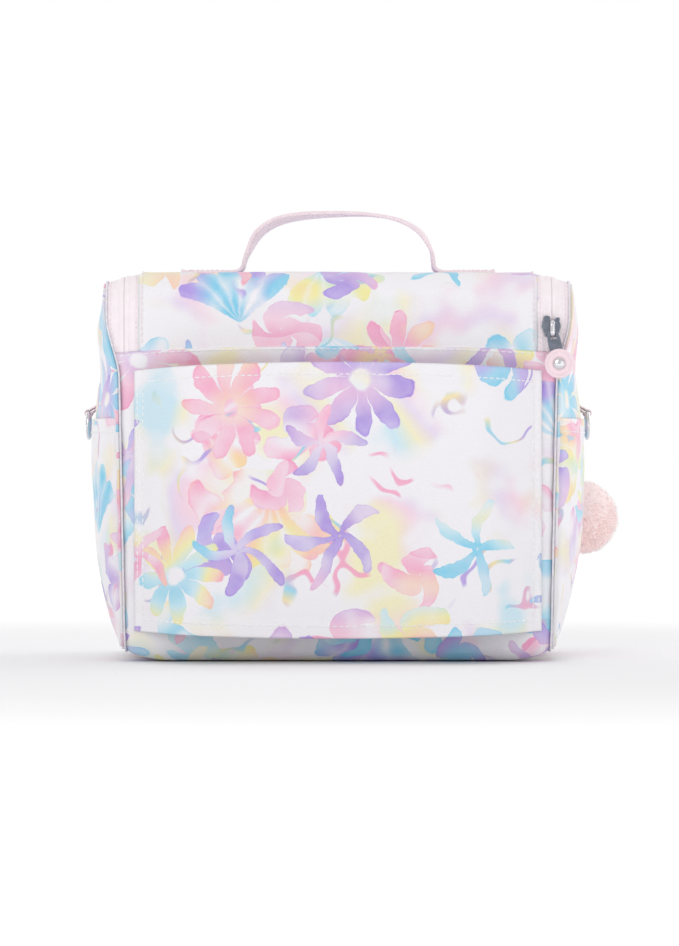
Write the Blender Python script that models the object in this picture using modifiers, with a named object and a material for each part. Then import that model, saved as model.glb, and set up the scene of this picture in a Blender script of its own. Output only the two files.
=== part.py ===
"""Boxy soft toiletry / cosmetics bag with a zip-round lid and a trolley sleeve on its back.

World frame, metres: +Z up, the back with the trolley sleeve faces -Y, origin at the bottom centre.
The back, lid, front and base form one band; a pillowed gusset closes it on each side.
"""
import math

import bmesh
import bpy
from mathutils import Vector

# ---------- driving sizes of the bag ----------
HALF_DEPTH = 0.075
HEIGHT = 0.205
LOOP_RADIUS = 0.016          # rounding of the band where it turns from one face to the next
SEAM_LOW = 0.112             # half width between the gusset seams at the floor
SEAM_MID = 0.115             # the same at SEAM_MID_Z
SEAM_HIGH = 0.1218           # the same from SEAM_HIGH_Z up, where the zip tape sits
SEAM_MID_Z = 0.148
SEAM_HIGH_Z = 0.182
EDGE_DROP = 0.005            # how far the band turns in at the gusset seams
GUSSET_OFFSET = 0.0017       # gusset edge outside the seam line
GUSSET_BULGE = 0.0160
GUSSET_POWER = 2.6           # how squarely the gusset bulges from front to back
GUSSET_POWER_HIGH = 1.8      # the same towards the top, where it is drawn in
GUSSET_POWER_LOW = 3.4       # and towards the base, where it stays full
FRONT_CROWN = 0.005
TOP_CROWN = 0.0015

LINING_FLOOR = 0.0050
LINING_TOE = 0.022           # how far the lining floor stands in from its walls

PANEL = 0.0018               # fabric and thin foam
CLOTH = 0.0008               # lining and pocket cloth
GAP = 0.0003
SEAM_GAP = 0.0007             # half gap between two panels that meet in a turn

# ---------- zip ----------
ZIP_HALF_WIDTH = 0.1125      # zip centre line on both sides
ZIP_FRONT_Z = 0.162          # zip centre line across the front
ZIP_CORNER = 0.015
TAPE_HALF = 0.0085
TAPE_CLEARANCE = 0.0010      # between the tape's edge and the seam line
TAPE_DEPTH = 0.0006          # tape face below the panel face
TAPE = 0.0006
TEETH_HALF = 0.0022
TEETH = 0.0009
CHANNEL = 0.0007             # half of the free slot between the two rows of teeth at the zip ends
LID_SEAM_Z = 0.166
HINGE_Z = 0.188

# ---------- trolley sleeve ----------
SLEEVE_HALF = 0.107
SLEEVE_PROUD = 0.0205
SLEEVE_FLANGE = 0.003
SLEEVE_TUBE_X = 0.074        # where the sleeve leaves the outer side of the trolley tube
SLEEVE_TOP_SIDE = 0.151
SLEEVE_TOP_MID = 0.157
SLEEVE_LOW_SIDE = 0.017
SLEEVE_LOW_MID = 0.0126

# ---------- handle ----------
WEBBING = 0.0018
STRAP_HALF = 0.0125
HANDLE_PIVOT_Z = 0.2205
TAIL_END_X = 0.084
HANDLE_PATH = [(-0.0515, 0.2095), (-0.0505, 0.2140), (-0.0480, 0.2205), (-0.0430, 0.2290),
               (-0.0340, 0.2355), (-0.0200, 0.2390), (0.0, 0.2402), (0.0180, 0.2398),
               (0.0340, 0.2365), (0.0450, 0.2300), (0.0510, 0.2205), (0.0520, 0.2140),
               (0.0510, 0.2095)]

# ---------- small parts ----------
POCKET_TOP_Z = 0.128
POCKET_OFFSET = 0.0012
D_RING_BAR = Vector((0.1353, 0.0, 0.1315))
D_RING_WIRE = 0.0011
D_RING_HALF = 0.0085
D_RING_DROP = 0.0135
EYE_OUTER = 0.0023
EYE_INNER = 0.00145
CHARM_PIVOT = Vector((0.1219, 0.0776, 0.1210))
CHARM_ALONG = Vector((1.0, -1.0, 0.0)).normalized()
CHARM_LEAN = Vector((0.0150, 0.0050, 0.0))   # the pompom rests a little to the side of its tab
CHARM_FALL = 0.0460
POMPOM_RADIUS = 0.022


def clear_scene():
    for item in list(bpy.data.objects):
        bpy.data.objects.remove(item, do_unlink=True)


def make_collection(name):
    group = bpy.data.collections.new(name)
    bpy.context.scene.collection.children.link(group)
    return group


def make_material(name, colour, roughness, metallic=0.0):
    material = bpy.data.materials.new(name)
    material.use_nodes = True
    shader = material.node_tree.nodes["Principled BSDF"]
    shader.inputs["Base Color"].default_value = (*colour, 1.0)
    shader.inputs["Roughness"].default_value = roughness
    shader.inputs["Metallic"].default_value = metallic
    material.diffuse_color = (*colour, 1.0)
    return material


clear_scene()
BAG = make_collection("toiletry_bag")

PRINT_FABRIC = make_material("print_fabric", (0.92, 0.90, 0.93), 0.55)
LINING_FABRIC = make_material("lining_fabric", (0.90, 0.74, 0.79), 0.6)
ZIP_TAPE = make_material("zip_tape", (0.93, 0.76, 0.80), 0.7)
ZIP_TEETH = make_material("zip_teeth", (0.94, 0.80, 0.83), 0.4)
PINK_WEBBING = make_material("pink_webbing", (0.93, 0.74, 0.78), 0.75)
PIPING = make_material("seam_piping", (0.80, 0.72, 0.77), 0.6)
GREY_METAL = make_material("grey_metal", (0.22, 0.21, 0.22), 0.35, 1.0)
SILVER_METAL = make_material("silver_metal", (0.75, 0.75, 0.76), 0.22, 1.0)
PINK_RUBBER = make_material("pink_rubber", (0.93, 0.72, 0.76), 0.5)
BOARD = make_material("board_plastic", (0.85, 0.85, 0.85), 0.6)
POMPOM = make_material("pompom_fur", (0.95, 0.83, 0.84), 0.95)


def place(name, data, material, origin=None):
    """Adds one named sub-part; origin is where its own zero point goes (a joint axis)."""
    item = bpy.data.objects.new(name, data)
    BAG.objects.link(item)
    data.materials.append(material)
    if origin is not None:
        item.location = origin
    return item


def sheet(name, rows, material, thickness, keep=None, outward=False, origin=None, smooth=True):
    """A cloth panel: a grid of points on its face, given body by Solidify.

    keep(row, column) can leave out faces; outward puts the thickness in front of the points.
    """
    shift = Vector(origin) if origin is not None else Vector((0.0, 0.0, 0.0))
    mesh = bpy.data.meshes.new(name)
    form = bmesh.new()
    grid = []
    for row in rows:
        grid.append([form.verts.new(Vector(point) - shift) for point in row])
    for i in range(len(rows) - 1):
        for j in range(len(rows[0]) - 1):
            if keep is None or keep(i, j):
                face = form.faces.new((grid[i][j], grid[i + 1][j], grid[i + 1][j + 1], grid[i][j + 1]))
                face.smooth = smooth
    loose = [vert for vert in form.verts if not vert.link_faces]
    bmesh.ops.delete(form, geom=loose, context="VERTS")
    form.to_mesh(mesh)
    form.free()
    item = place(name, mesh, material, origin)
    body = item.modifiers.new("body", "SOLIDIFY")
    body.thickness = thickness
    body.offset = 1.0 if outward else -1.0
    return item


def tube(name, points, radius, material, closed, origin=None, sides=2):
    """A wire or cord along points."""
    shift = Vector(origin) if origin is not None else Vector((0.0, 0.0, 0.0))
    curve = bpy.data.curves.new(name, "CURVE")
    curve.dimensions = "3D"
    spline = curve.splines.new("POLY")
    spline.points.add(len(points) - 1)
    for knot, point in zip(spline.points, points):
        knot.co = (*(Vector(point) - shift), 1.0)
    spline.use_cyclic_u = closed
    spline.use_smooth = True
    curve.bevel_depth = radius
    curve.bevel_resolution = sides
    curve.use_fill_caps = not closed
    return place(name, curve, material, origin)


def outline(name, loops, thickness, material, origin, rotation, bevel=0.0):
    """A flat plate from closed 2D outlines (later loops are holes)."""
    curve = bpy.data.curves.new(name, "CURVE")
    curve.dimensions = "2D"
    curve.fill_mode = "BOTH"
    curve.extrude = thickness / 2.0 - bevel
    curve.bevel_depth = bevel
    curve.bevel_resolution = 0
    for points in loops:
        spline = curve.splines.new("POLY")
        spline.points.add(len(points) - 1)
        for knot, point in zip(spline.points, points):
            knot.co = (point[0], point[1], 0.0, 1.0)
        spline.use_cyclic_u = True
    item = place(name, curve, material, origin)
    item.rotation_euler = rotation
    return item


def spread(start, end, count):
    """count + 1 evenly spaced values."""
    return [start + (end - start) * i / count for i in range(count + 1)]


# ---------- the outer form ----------
ARC = LOOP_RADIUS * math.pi / 2.0
BASE_HALF = HALF_DEPTH - LOOP_RADIUS
WALL = HEIGHT - 2.0 * LOOP_RADIUS
BACK_START = BASE_HALF + ARC
TOP_START = BACK_START + WALL + ARC
FRONT_START = TOP_START + 2.0 * BASE_HALF + ARC
LOOP_END = FRONT_START + WALL + ARC + BASE_HALF


def back_at(z):
    """Distance round the loop of height z on the back."""
    return BACK_START + z - LOOP_RADIUS


def front_at(z):
    """Distance round the loop of height z on the front."""
    return FRONT_START + HEIGHT - LOOP_RADIUS - z


def loop(distance):
    """Point and outward normal (y, z, ny, nz) on the side view of the band.

    Runs from the base centre to the back, up, over the lid and down the front.
    """
    low = LOOP_RADIUS
    high = HEIGHT - LOOP_RADIUS
    d = distance % LOOP_END
    if d <= BASE_HALF:
        return (-d, 0.0, 0.0, -1.0)
    if d <= BACK_START:
        return around(-BASE_HALF, low, 1.5 * math.pi - (d - BASE_HALF) / LOOP_RADIUS)
    if d <= BACK_START + WALL:
        return (-HALF_DEPTH, low + d - BACK_START, -1.0, 0.0)
    if d <= TOP_START:
        return around(-BASE_HALF, high, math.pi - (d - BACK_START - WALL) / LOOP_RADIUS)
    if d <= TOP_START + 2.0 * BASE_HALF:
        return (d - TOP_START - BASE_HALF, HEIGHT, 0.0, 1.0)
    if d <= FRONT_START:
        return around(BASE_HALF, high, math.pi / 2.0 - (d - TOP_START - 2.0 * BASE_HALF) / LOOP_RADIUS)
    if d <= FRONT_START + WALL:
        return (HALF_DEPTH, high - (d - FRONT_START), 1.0, 0.0)
    if d <= FRONT_START + WALL + ARC:
        return around(BASE_HALF, low, -(d - FRONT_START - WALL) / LOOP_RADIUS)
    return (BASE_HALF - (d - FRONT_START - WALL - ARC), 0.0, 0.0, -1.0)


def around(y, z, angle):
    ny = math.cos(angle)
    nz = math.sin(angle)
    return (y + LOOP_RADIUS * ny, z + LOOP_RADIUS * nz, ny, nz)


def ease(value):
    value = min(max(value, 0.0), 1.0)
    return value * value * (3.0 - 2.0 * value)


def seam_half(z):
    """Half width of the band at height z."""
    if z < SEAM_MID_Z:
        return SEAM_LOW + (SEAM_MID - SEAM_LOW) * z / SEAM_MID_Z
    return SEAM_MID + (SEAM_HIGH - SEAM_MID) * ease((z - SEAM_MID_Z) / (SEAM_HIGH_Z - SEAM_MID_Z))


def window(value, start, end):
    """A smooth hill: 0 at start and end, 1 half way."""
    if value <= start or value >= end:
        return 0.0
    return math.sin(math.pi * (value - start) / (end - start)) ** 2


def band_point(x, distance, depth=0.0):
    """Point of the band at width x, depth inside its outer face."""
    y, z, ny, nz = loop(distance)
    share = abs(x) / seam_half(z)
    inward = depth + EDGE_DROP * max(0.0, (share - 0.8) / 0.2) ** 2
    across = max(0.0, 1.0 - share * share)
    inward -= FRONT_CROWN * across * window(distance, FRONT_START, FRONT_START + WALL)
    inward -= TOP_CROWN * across * window(distance, TOP_START, TOP_START + 2.0 * BASE_HALF)
    return Vector((x, y - ny * inward, z - nz * inward))


def gusset_x(y, z):
    """How far out the gusset stands at depth y and height z."""
    half_y = HALF_DEPTH - EDGE_DROP
    half_z = HEIGHT / 2.0 - EDGE_DROP
    share_y = min(abs(y) / half_y, 1.0)
    share_z = min(abs(z - HEIGHT / 2.0) / half_z, 1.0)
    power_z = GUSSET_POWER_HIGH if z > HEIGHT / 2.0 else GUSSET_POWER_LOW
    bulge = (1.0 - share_y ** GUSSET_POWER) * (1.0 - share_z ** power_z)
    return seam_half(z) + GUSSET_OFFSET + GUSSET_BULGE * bulge


def side_limit(z, inset=EDGE_DROP):
    """Half depth of the gusset at height z."""
    radius = LOOP_RADIUS - inset
    below = max(0.0, LOOP_RADIUS - z, z - (HEIGHT - LOOP_RADIUS))
    return BASE_HALF + math.sqrt(max(0.0, radius * radius - min(below, radius) ** 2))


def loop_stops(start, end):
    """Distances for the rows of a band panel: close in the turns, wide on the flats."""
    stops = {start, end}
    for turn in (BASE_HALF, BACK_START + WALL, TOP_START + 2.0 * BASE_HALF, FRONT_START + WALL):
        for value in spread(turn, turn + ARC, 4):
            stops.add(value)
    for flat_start, flat_end, count in ((0.0, BASE_HALF, 2), (BACK_START, BACK_START + WALL, 6),
                                        (TOP_START, TOP_START + 2.0 * BASE_HALF, 6),
                                        (FRONT_START, FRONT_START + WALL, 8),
                                        (LOOP_END - BASE_HALF, LOOP_END + BASE_HALF, 4)):
        for value in spread(flat_start, flat_end, count):
            stops.add(value)
    for value in (LOOP_END + BASE_HALF + ARC * step / 4.0 for step in range(5)):
        stops.add(value)
    kept = sorted(value for value in stops if start <= value <= end)
    merged = [kept[0]]
    for value in kept[1:]:
        if value - merged[-1] > 0.0012:
            merged.append(value)
    if end - merged[-1] > 1e-6:
        merged[-1] = end
    return merged


ACROSS = [-1.0, -0.94, -0.87, -0.8, -0.5, -0.2, 0.2, 0.5, 0.8, 0.87, 0.94, 1.0]


def band_panel(name, start, end, material, thickness):
    """A band panel as wide as the bag between its two gusset seams."""
    rows = []
    for distance in loop_stops(start, end):
        half = seam_half(loop(distance)[1]) - GAP
        rows.append([band_point(half * share, distance) for share in reversed(ACROSS)])
    return sheet(name, rows, material, thickness)


# ---------- body panels ----------
def build_back_panel():
    return band_panel("back_panel", BASE_HALF + ARC * 0.5 + SEAM_GAP, back_at(LID_SEAM_Z - GAP), PRINT_FABRIC, PANEL)


def build_base_panel():
    start = LOOP_END - BASE_HALF - ARC * 0.5 + SEAM_GAP
    end = LOOP_END + BASE_HALF + ARC * 0.5 - SEAM_GAP
    return band_panel("base_panel", start, end, PRINT_FABRIC, PANEL)


def zip_outer_edge_front(x):
    """Distance round the loop of the front panel's top edge, under the zip tape."""
    corner_x = ZIP_HALF_WIDTH - ZIP_CORNER
    radius = ZIP_CORNER + TAPE_HALF + 0.0012
    level = ZIP_FRONT_Z + ZIP_CORNER
    reach = abs(x) - corner_x
    if reach <= 0.0:
        return front_at(level - radius)
    return front_at(level - math.sqrt(max(radius * radius - reach * reach, 0.0)))


def build_front_panel():
    end = LOOP_END - BASE_HALF - ARC * 0.5 - SEAM_GAP
    half_shares = [0.2, 0.5, 0.8, 0.84, 0.87, 0.9, 0.93, 0.96, 0.98, 1.0]
    shares = [-share for share in reversed(half_shares)] + half_shares
    steps = [0.0, 0.08, 0.2, 0.35, 0.5, 0.65, 0.8, 0.9, 0.95, 1.0]
    rows = []
    for step in steps:
        row = []
        for share in reversed(shares):
            top = zip_outer_edge_front(share * (SEAM_MID + 0.0022))
            distance = top + (end - top) * step
            half = seam_half(loop(distance)[1]) - GAP
            row.append(band_point(half * share, distance))
        rows.append(row)
    return sheet("front_panel", rows, PRINT_FABRIC, PANEL)


def build_hinge_strip():
    rows = []
    half = ZIP_HALF_WIDTH - TAPE_HALF - GAP
    for distance in spread(back_at(LID_SEAM_Z), back_at(HINGE_Z - GAP), 2):
        rows.append([band_point(half * share, distance) for share in reversed(ACROSS)])
    return sheet("hinge_strip", rows, PRINT_FABRIC, PANEL)


def build_gusset(name, side):
    """Pillowed side panel, built of rings that shrink towards its middle."""
    centre = Vector((0.0, HEIGHT / 2.0))
    edge = []
    for distance in loop_stops(0.0, LOOP_END)[:-1]:
        y, z, ny, nz = loop(distance)
        edge.append(Vector((y - ny * EDGE_DROP, z - nz * EDGE_DROP)))
    mesh = bpy.data.meshes.new(name)
    form = bmesh.new()
    rings = []
    for scale in (1.0, 0.94, 0.84, 0.68, 0.46, 0.22):
        ring = []
        for point in edge:
            flat = centre + (point - centre) * scale
            ring.append(form.verts.new((side * gusset_x(flat.x, flat.y), flat.x, flat.y)))
        rings.append(ring)
    count = len(edge)
    for outer, inner in zip(rings, rings[1:]):
        for i in range(count):
            j = (i + 1) % count
            form.faces.new((outer[i], outer[j], inner[j], inner[i]))
    middle = form.verts.new((side * gusset_x(0.0, HEIGHT / 2.0), 0.0, HEIGHT / 2.0))
    for i in range(count):
        form.faces.new((rings[-1][i], rings[-1][(i + 1) % count], middle))
    for face in form.faces:
        face.smooth = True
    bmesh.ops.recalc_face_normals(form, faces=form.faces)
    if sum(face.normal.x * side for face in form.faces) < 0.0:
        bmesh.ops.reverse_faces(form, faces=form.faces)
    form.to_mesh(mesh)
    form.free()
    item = place(name, mesh, PRINT_FABRIC)
    body = item.modifiers.new("body", "SOLIDIFY")
    body.thickness = CLOTH + 0.0004
    body.offset = -1.0
    return item


def build_side_pocket(name, side):
    """Open-topped slip pocket lying on the gusset."""
    rows = []
    for z in (POCKET_TOP_Z, 0.118, 0.095, 0.070, 0.045, 0.025, 0.014, 0.009):
        reach = side_limit(z) - 0.003
        fall = ease((z - 0.05) / (POCKET_TOP_Z - 0.05)) * 0.0003
        row = []
        for share in (-1.0, -0.85, -0.6, -0.3, 0.0, 0.3, 0.6, 0.85, 1.0):
            y = reach * share * side
            row.append((side * (gusset_x(y, z) + POCKET_OFFSET + fall * (1.0 - share * share)), y, z))
        rows.append(row)
    return sheet(name, rows, PRINT_FABRIC, CLOTH, outward=True)


def build_piping(name, side):
    """Fine piping that covers the seam between band and gusset all the way round."""
    points = []
    for distance in loop_stops(0.0, LOOP_END)[:-1]:
        y, z, ny, nz = loop(distance)
        lift = 0.0012 - EDGE_DROP
        points.append((side * (seam_half(z) + 0.0009), y + ny * lift, z + nz * lift))
    return tube(name, points, 0.0008, PIPING, closed=True, sides=1)


# ---------- inside ----------
def lining_ring(z, rim):
    """Closed ring of the lining cup at height z; rim is 0 at the floor and 1 at the mouth."""
    inset = 0.0036
    half_y = side_limit(z, 0.0) - inset - 0.0008
    points = []
    steps = 9
    for corner in range(4):
        for i in range(steps):
            angle = (corner + i / steps) * math.pi / 2.0
            c = math.cos(angle)
            s = math.sin(angle)
            share_x = math.copysign(abs(c) ** 0.42, c)
            share_y = math.copysign(abs(s) ** 0.42, s)
            y = half_y * share_y
            toe = LINING_TOE * (1.0 - ease((z - LINING_FLOOR) / 0.012))
            x = (gusset_x(y, z) - inset - toe) * share_x
            drop = 0.0
            if y > 0.0:
                drop = rim * (HINGE_Z - 0.1475) * ease((y - 0.035) / 0.025)
            points.append((x, y, z - drop))
    return points


def build_body_lining():
    levels = [LINING_FLOOR, 0.007, 0.010, 0.018, 0.05, 0.09, 0.13, 0.165, HINGE_Z - 0.002]
    mesh = bpy.data.meshes.new("body_lining")
    form = bmesh.new()
    rings = []
    for z in levels:
        rim = ease((z - 0.09) / (levels[-1] - 0.09))
        rings.append([form.verts.new(point) for point in lining_ring(z, rim)])
    count = len(rings[0])
    for lower, upper in zip(rings, rings[1:]):
        for i in range(count):
            j = (i + 1) % count
            form.faces.new((lower[i], lower[j], upper[j], upper[i]))
    form.faces.new(list(reversed(rings[0])))
    bmesh.ops.recalc_face_normals(form, faces=form.faces)
    floor = min(form.faces, key=lambda face: face.calc_center_median().z)
    if floor.normal.z > 0.0:
        bmesh.ops.reverse_faces(form, faces=form.faces)
    for face in form.faces:
        face.smooth = True
    form.to_mesh(mesh)
    form.free()
    item = place("body_lining", mesh, LINING_FABRIC)
    body = item.modifiers.new("body", "SOLIDIFY")
    body.thickness = CLOTH
    body.offset = -1.0
    return item


def build_base_board():
    half_x = 0.087
    half_y = 0.0555
    corner = 0.012
    points = []
    for index, (sx, sy) in enumerate(((1, 1), (-1, 1), (-1, -1), (1, -1))):
        for step in range(5):
            angle = (index + step / 4.0) * math.pi / 2.0
            points.append((sx * (half_x - corner) + corner * math.cos(angle),
                           sy * (half_y - corner) + corner * math.sin(angle)))
    return outline("base_board", [points], 0.0015, BOARD, (0.0, 0.0, 0.00300), (0.0, 0.0, 0.0))


# ---------- zip ----------
def zip_path():
    """(x, distance, out_x, out_d) down the zip centre line: right end, front, left end.

    out_x, out_d points to the body side of the zip.
    """
    corner_x = ZIP_HALF_WIDTH - ZIP_CORNER
    corner_d = front_at(ZIP_FRONT_Z + ZIP_CORNER)
    half = []
    start = back_at(LID_SEAM_Z + GAP)
    marks = [start, back_at(LID_SEAM_Z + 0.0024), back_at(0.177), back_at(HINGE_Z - GAP), back_at(HINGE_Z + GAP)]
    marks += [value for value in loop_stops(back_at(HINGE_Z), corner_d) if value > marks[-1] + 0.0012]
    for distance in marks:
        half.append((ZIP_HALF_WIDTH, distance, 1.0, 0.0))
    for step in range(1, 6):
        angle = step / 6.0 * math.pi / 2.0
        half.append((corner_x + ZIP_CORNER * math.cos(angle), corner_d + ZIP_CORNER * math.sin(angle),
                     math.cos(angle), math.sin(angle)))
    for x in spread(corner_x, 0.0, 5):
        half.append((x, corner_d + ZIP_CORNER, 0.0, 1.0))
    mirrored = [(-x, d, -ox, od) for x, d, ox, od in reversed(half[:-1])]
    return half + mirrored


ZIP_ROWS = zip_path()


def zip_strip(name, offsets, depth, material, thickness, keep):
    """A strip along the zip; offsets run from the lid side (minus) to the body side (plus)."""
    rows = []
    for x, distance, out_x, out_d in ZIP_ROWS:
        row = []
        for offset in reversed(offsets):
            px = x + out_x * offset
            pd = distance + out_d * offset
            limit = seam_half(loop(pd)[1]) - TAPE_CLEARANCE
            row.append(band_point(max(-limit, min(limit, px)), pd, depth))
        rows.append(row)
    return sheet(name, rows, material, thickness, keep=keep)


def build_zip():
    last = len(ZIP_ROWS) - 2
    ends = (0, last)
    fixed = (0, 1, 2, last - 2, last - 1, last)

    def body_side(row, column):
        if column == 0:
            return True
        if column == 1:
            return row in ends
        return row in fixed

    def lid_side(row, column):
        return 4 <= row <= last - 4

    tape = [-TAPE_HALF, -CHANNEL, CHANNEL, TAPE_HALF]
    teeth = [-TEETH_HALF, -CHANNEL, CHANNEL, TEETH_HALF]
    zip_strip("zip_tape_body", tape, TAPE_DEPTH, ZIP_TAPE, TAPE, body_side)
    zip_strip("zip_teeth_body", teeth, TAPE_DEPTH - TEETH - GAP, ZIP_TEETH, TEETH, body_side)
    zip_strip("zip_tape_lid", [-TAPE_HALF, -0.0002], TAPE_DEPTH, ZIP_TAPE, TAPE, lid_side)
    zip_strip("zip_teeth_lid", [-TEETH_HALF, -0.0002], TAPE_DEPTH - TEETH - GAP, ZIP_TEETH, TEETH, lid_side)


# ---------- lid ----------
def lid_rows(depth, shrink):
    half = ZIP_HALF_WIDTH - TAPE_HALF - GAP - shrink
    corner = ZIP_CORNER - TAPE_HALF - GAP
    end = front_at(ZIP_FRONT_Z + TAPE_HALF + GAP + shrink)
    corner_start = end - corner
    start = back_at(HINGE_Z + GAP + shrink)
    stops = [value for value in loop_stops(start, corner_start)]
    stops += [corner_start + corner * math.sin(angle * math.pi / 8.0) for angle in (1, 2, 3, 4)]
    rows = []
    for distance in stops:
        past = max(0.0, distance - corner_start)
        width = half - corner + math.sqrt(max(corner * corner - past * past, 0.0))
        rows.append([band_point(width * share, distance, depth) for share in reversed(ACROSS)])
    return rows


def build_lid():
    sheet("lid_panel", lid_rows(0.0, 0.0), PRINT_FABRIC, PANEL)
    sheet("lid_lining", lid_rows(PANEL + GAP, 0.0015), LINING_FABRIC, CLOTH)


# ---------- trolley sleeve ----------
def sleeve_y(x):
    """Inner face of the sleeve: sewn flat at its sides, stretched over the tubes between them."""
    flat = SLEEVE_HALF - SLEEVE_FLANGE
    reach = abs(x)
    surface = -band_point(x, back_at(0.08)).y
    if reach >= flat:
        return surface + 2.0 * GAP
    rise = (flat - reach) / (flat - SLEEVE_TUBE_X)
    proud = SLEEVE_PROUD - WEBBING
    if rise < 1.0:
        return surface + 2.0 * GAP + proud * math.sin(min(rise, 1.0) * math.pi / 2.0) ** 1.15
    return HALF_DEPTH + 2.0 * GAP + proud


def build_sleeve():
    xs = [-0.107, -0.104, -0.099, -0.094, -0.089, -0.084, -0.079, -0.074, -0.055, -0.028, 0.0,
          0.028, 0.055, 0.074, 0.079, 0.084, 0.089, 0.094, 0.099, 0.104, 0.107]
    rows = []
    for step in (1.0, 0.8, 0.6, 0.4, 0.2, 0.0):
        row = []
        for x in reversed(xs):
            middle = 1.0 - (x / SLEEVE_HALF) ** 2
            top = SLEEVE_TOP_SIDE + (SLEEVE_TOP_MID - SLEEVE_TOP_SIDE) * middle
            low = SLEEVE_LOW_SIDE + (SLEEVE_LOW_MID - SLEEVE_LOW_SIDE) * middle
            row.append((x, -sleeve_y(x), low + (top - low) * (1.0 - step)))
        rows.append(row)
    return sheet("trolley_sleeve", rows, PRINT_FABRIC, 0.0012, outward=True)


# ---------- handle ----------
def build_handle():
    """Webbing loop; its feet are rounded about the bending line, where it folds."""
    rows = []
    for x, z in HANDLE_PATH:
        below = max(0.0, HANDLE_PIVOT_Z - z)
        half = math.sqrt(max(STRAP_HALF ** 2 - below ** 2, 1e-9))
        rows.append([(x, half * share, z) for share in (-1.0, 0.0, 1.0)])
    sheet("handle_strap", rows, PINK_WEBBING, WEBBING, origin=(0.0, 0.0, HANDLE_PIVOT_Z), smooth=False)


def build_handle_tail(name, side):
    """Flat webbing tail sewn to the lid; its inner end turns up into the loop's foot."""
    rows = []
    middle = TOP_START + BASE_HALF
    for reach, lift in ((TAIL_END_X, 0.0012), (0.081, 0.0005), (0.070, 0.0), (0.060, 0.0), (0.0535, 0.0002)):
        row = []
        for share in (1.0, 0.0, -1.0):
            point = band_point(side * reach, middle + STRAP_HALF * share * side, -GAP - lift)
            row.append(point)
        rows.append(row)
    return sheet(name, rows, PINK_WEBBING, WEBBING, outward=True, smooth=False)


# ---------- slider and puller ----------
SLIDER_Z = 0.1755            # middle of the slider
SLIDER_FACE = band_point(ZIP_HALF_WIDTH, back_at(SLIDER_Z)).y
PLATE_IN = SLIDER_FACE - 0.0015
PLATE_OUT = PLATE_IN - 0.0012
PULLER_PIVOT = Vector((ZIP_HALF_WIDTH, PLATE_OUT - 0.0014, 0.1728))
PULLER_TILT = math.radians(12.0)
BRIDGE_REACH = 0.0016
DISC_RADIUS = 0.0078
DISC_CENTRE_DROP = 0.0168


def build_slider():
    """Outer plate of the slider, wider and forked at its upper end."""
    half_low = 0.0027
    half_high = 0.0037
    outline_points = [(-half_low, -0.0046), (half_low, -0.0046), (half_high, 0.0010), (half_high, 0.0046),
                      (0.0016, 0.0046), (0.0010, 0.0030), (-0.0010, 0.0030), (-0.0016, 0.0046),
                      (-half_high, 0.0046), (-half_high, 0.0010)]
    middle = (PLATE_IN + PLATE_OUT) / 2.0
    outline("zip_slider", [outline_points], PLATE_IN - PLATE_OUT, GREY_METAL,
            (ZIP_HALF_WIDTH, middle, SLIDER_Z), (math.pi / 2.0, 0.0, 0.0), bevel=0.0003)


def build_slider_core():
    """Neck between the rows of teeth with the inner plate of the slider behind the tape."""
    front = PLATE_IN + GAP
    shoulder = SLIDER_FACE + TAPE_DEPTH + TAPE + 0.0018
    back = shoulder + 0.0010
    neck = 0.0004
    wing = 0.0030
    points = [(-neck, front), (neck, front), (neck, shoulder), (wing, shoulder), (wing, back),
              (-wing, back), (-wing, shoulder), (-neck, shoulder)]
    outline("slider_core", [points], 0.0040, GREY_METAL, (ZIP_HALF_WIDTH, 0.0, SLIDER_Z - 0.0012), (0.0, 0.0, 0.0))


def build_slider_bridge():
    """Wire arch on the outer plate that holds the puller."""
    x = ZIP_HALF_WIDTH
    low = PULLER_PIVOT.z - BRIDGE_REACH
    high = SLIDER_Z + 0.0030
    root = PLATE_OUT - GAP
    crest = PULLER_PIVOT.y - BRIDGE_REACH
    points = [(x, root, low)]
    for step in range(5):
        angle = step / 4.0 * math.pi / 2.0
        points.append((x, PULLER_PIVOT.y - BRIDGE_REACH * math.sin(angle),
                       PULLER_PIVOT.z - BRIDGE_REACH * math.cos(angle)))
    points += [(x, crest, high - 0.0014), (x, crest + 0.0005, high - 0.0004), (x, crest + 0.0014, high),
               (x, root, high)]
    tube("slider_bridge", points, 0.0006, SILVER_METAL, closed=False, sides=1)


def build_puller():
    """Metal puller plate, rubber disc and the rivet through it; all hang from the bridge."""
    turn = (math.pi / 2.0, PULLER_TILT, 0.0)
    plate = [(-0.0028, 0.0006), (0.0028, 0.0006), (0.0032, -0.0040), (0.0030, -0.0130), (0.0016, -0.0190),
             (-0.0016, -0.0190), (-0.0030, -0.0130), (-0.0032, -0.0040)]
    hole = [(-0.0017, -0.0006), (-0.0017, -0.0042), (0.0017, -0.0042), (0.0017, -0.0006)]
    outline("puller_plate", [plate, hole], 0.0010, GREY_METAL, PULLER_PIVOT, turn)
    down = Vector((math.sin(PULLER_TILT), 0.0, -math.cos(PULLER_TILT)))
    centre = PULLER_PIVOT + down * DISC_CENTRE_DROP
    back = 0.0005 + GAP
    disc = [(0.0014, back), (0.0068, back), (DISC_RADIUS, back + 0.0006), (DISC_RADIUS, back + 0.0017),
            (0.0071, back + 0.0024), (0.0063, back + 0.0024), (0.0058, back + 0.0018), (0.0038, back + 0.0018),
            (0.0014, back + 0.0018)]
    turned("pull_disc", disc, PINK_RUBBER, centre, 24)
    head = back + 0.0018 + GAP
    rivet = [(0.0, head + 0.0015), (0.0021, head + 0.0012), (0.0029, head + 0.0006), (0.0030, head),
             (0.0010, head), (0.0010, back), (0.0, back)]
    turned("pull_rivet", rivet, SILVER_METAL, centre, 16)


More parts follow.
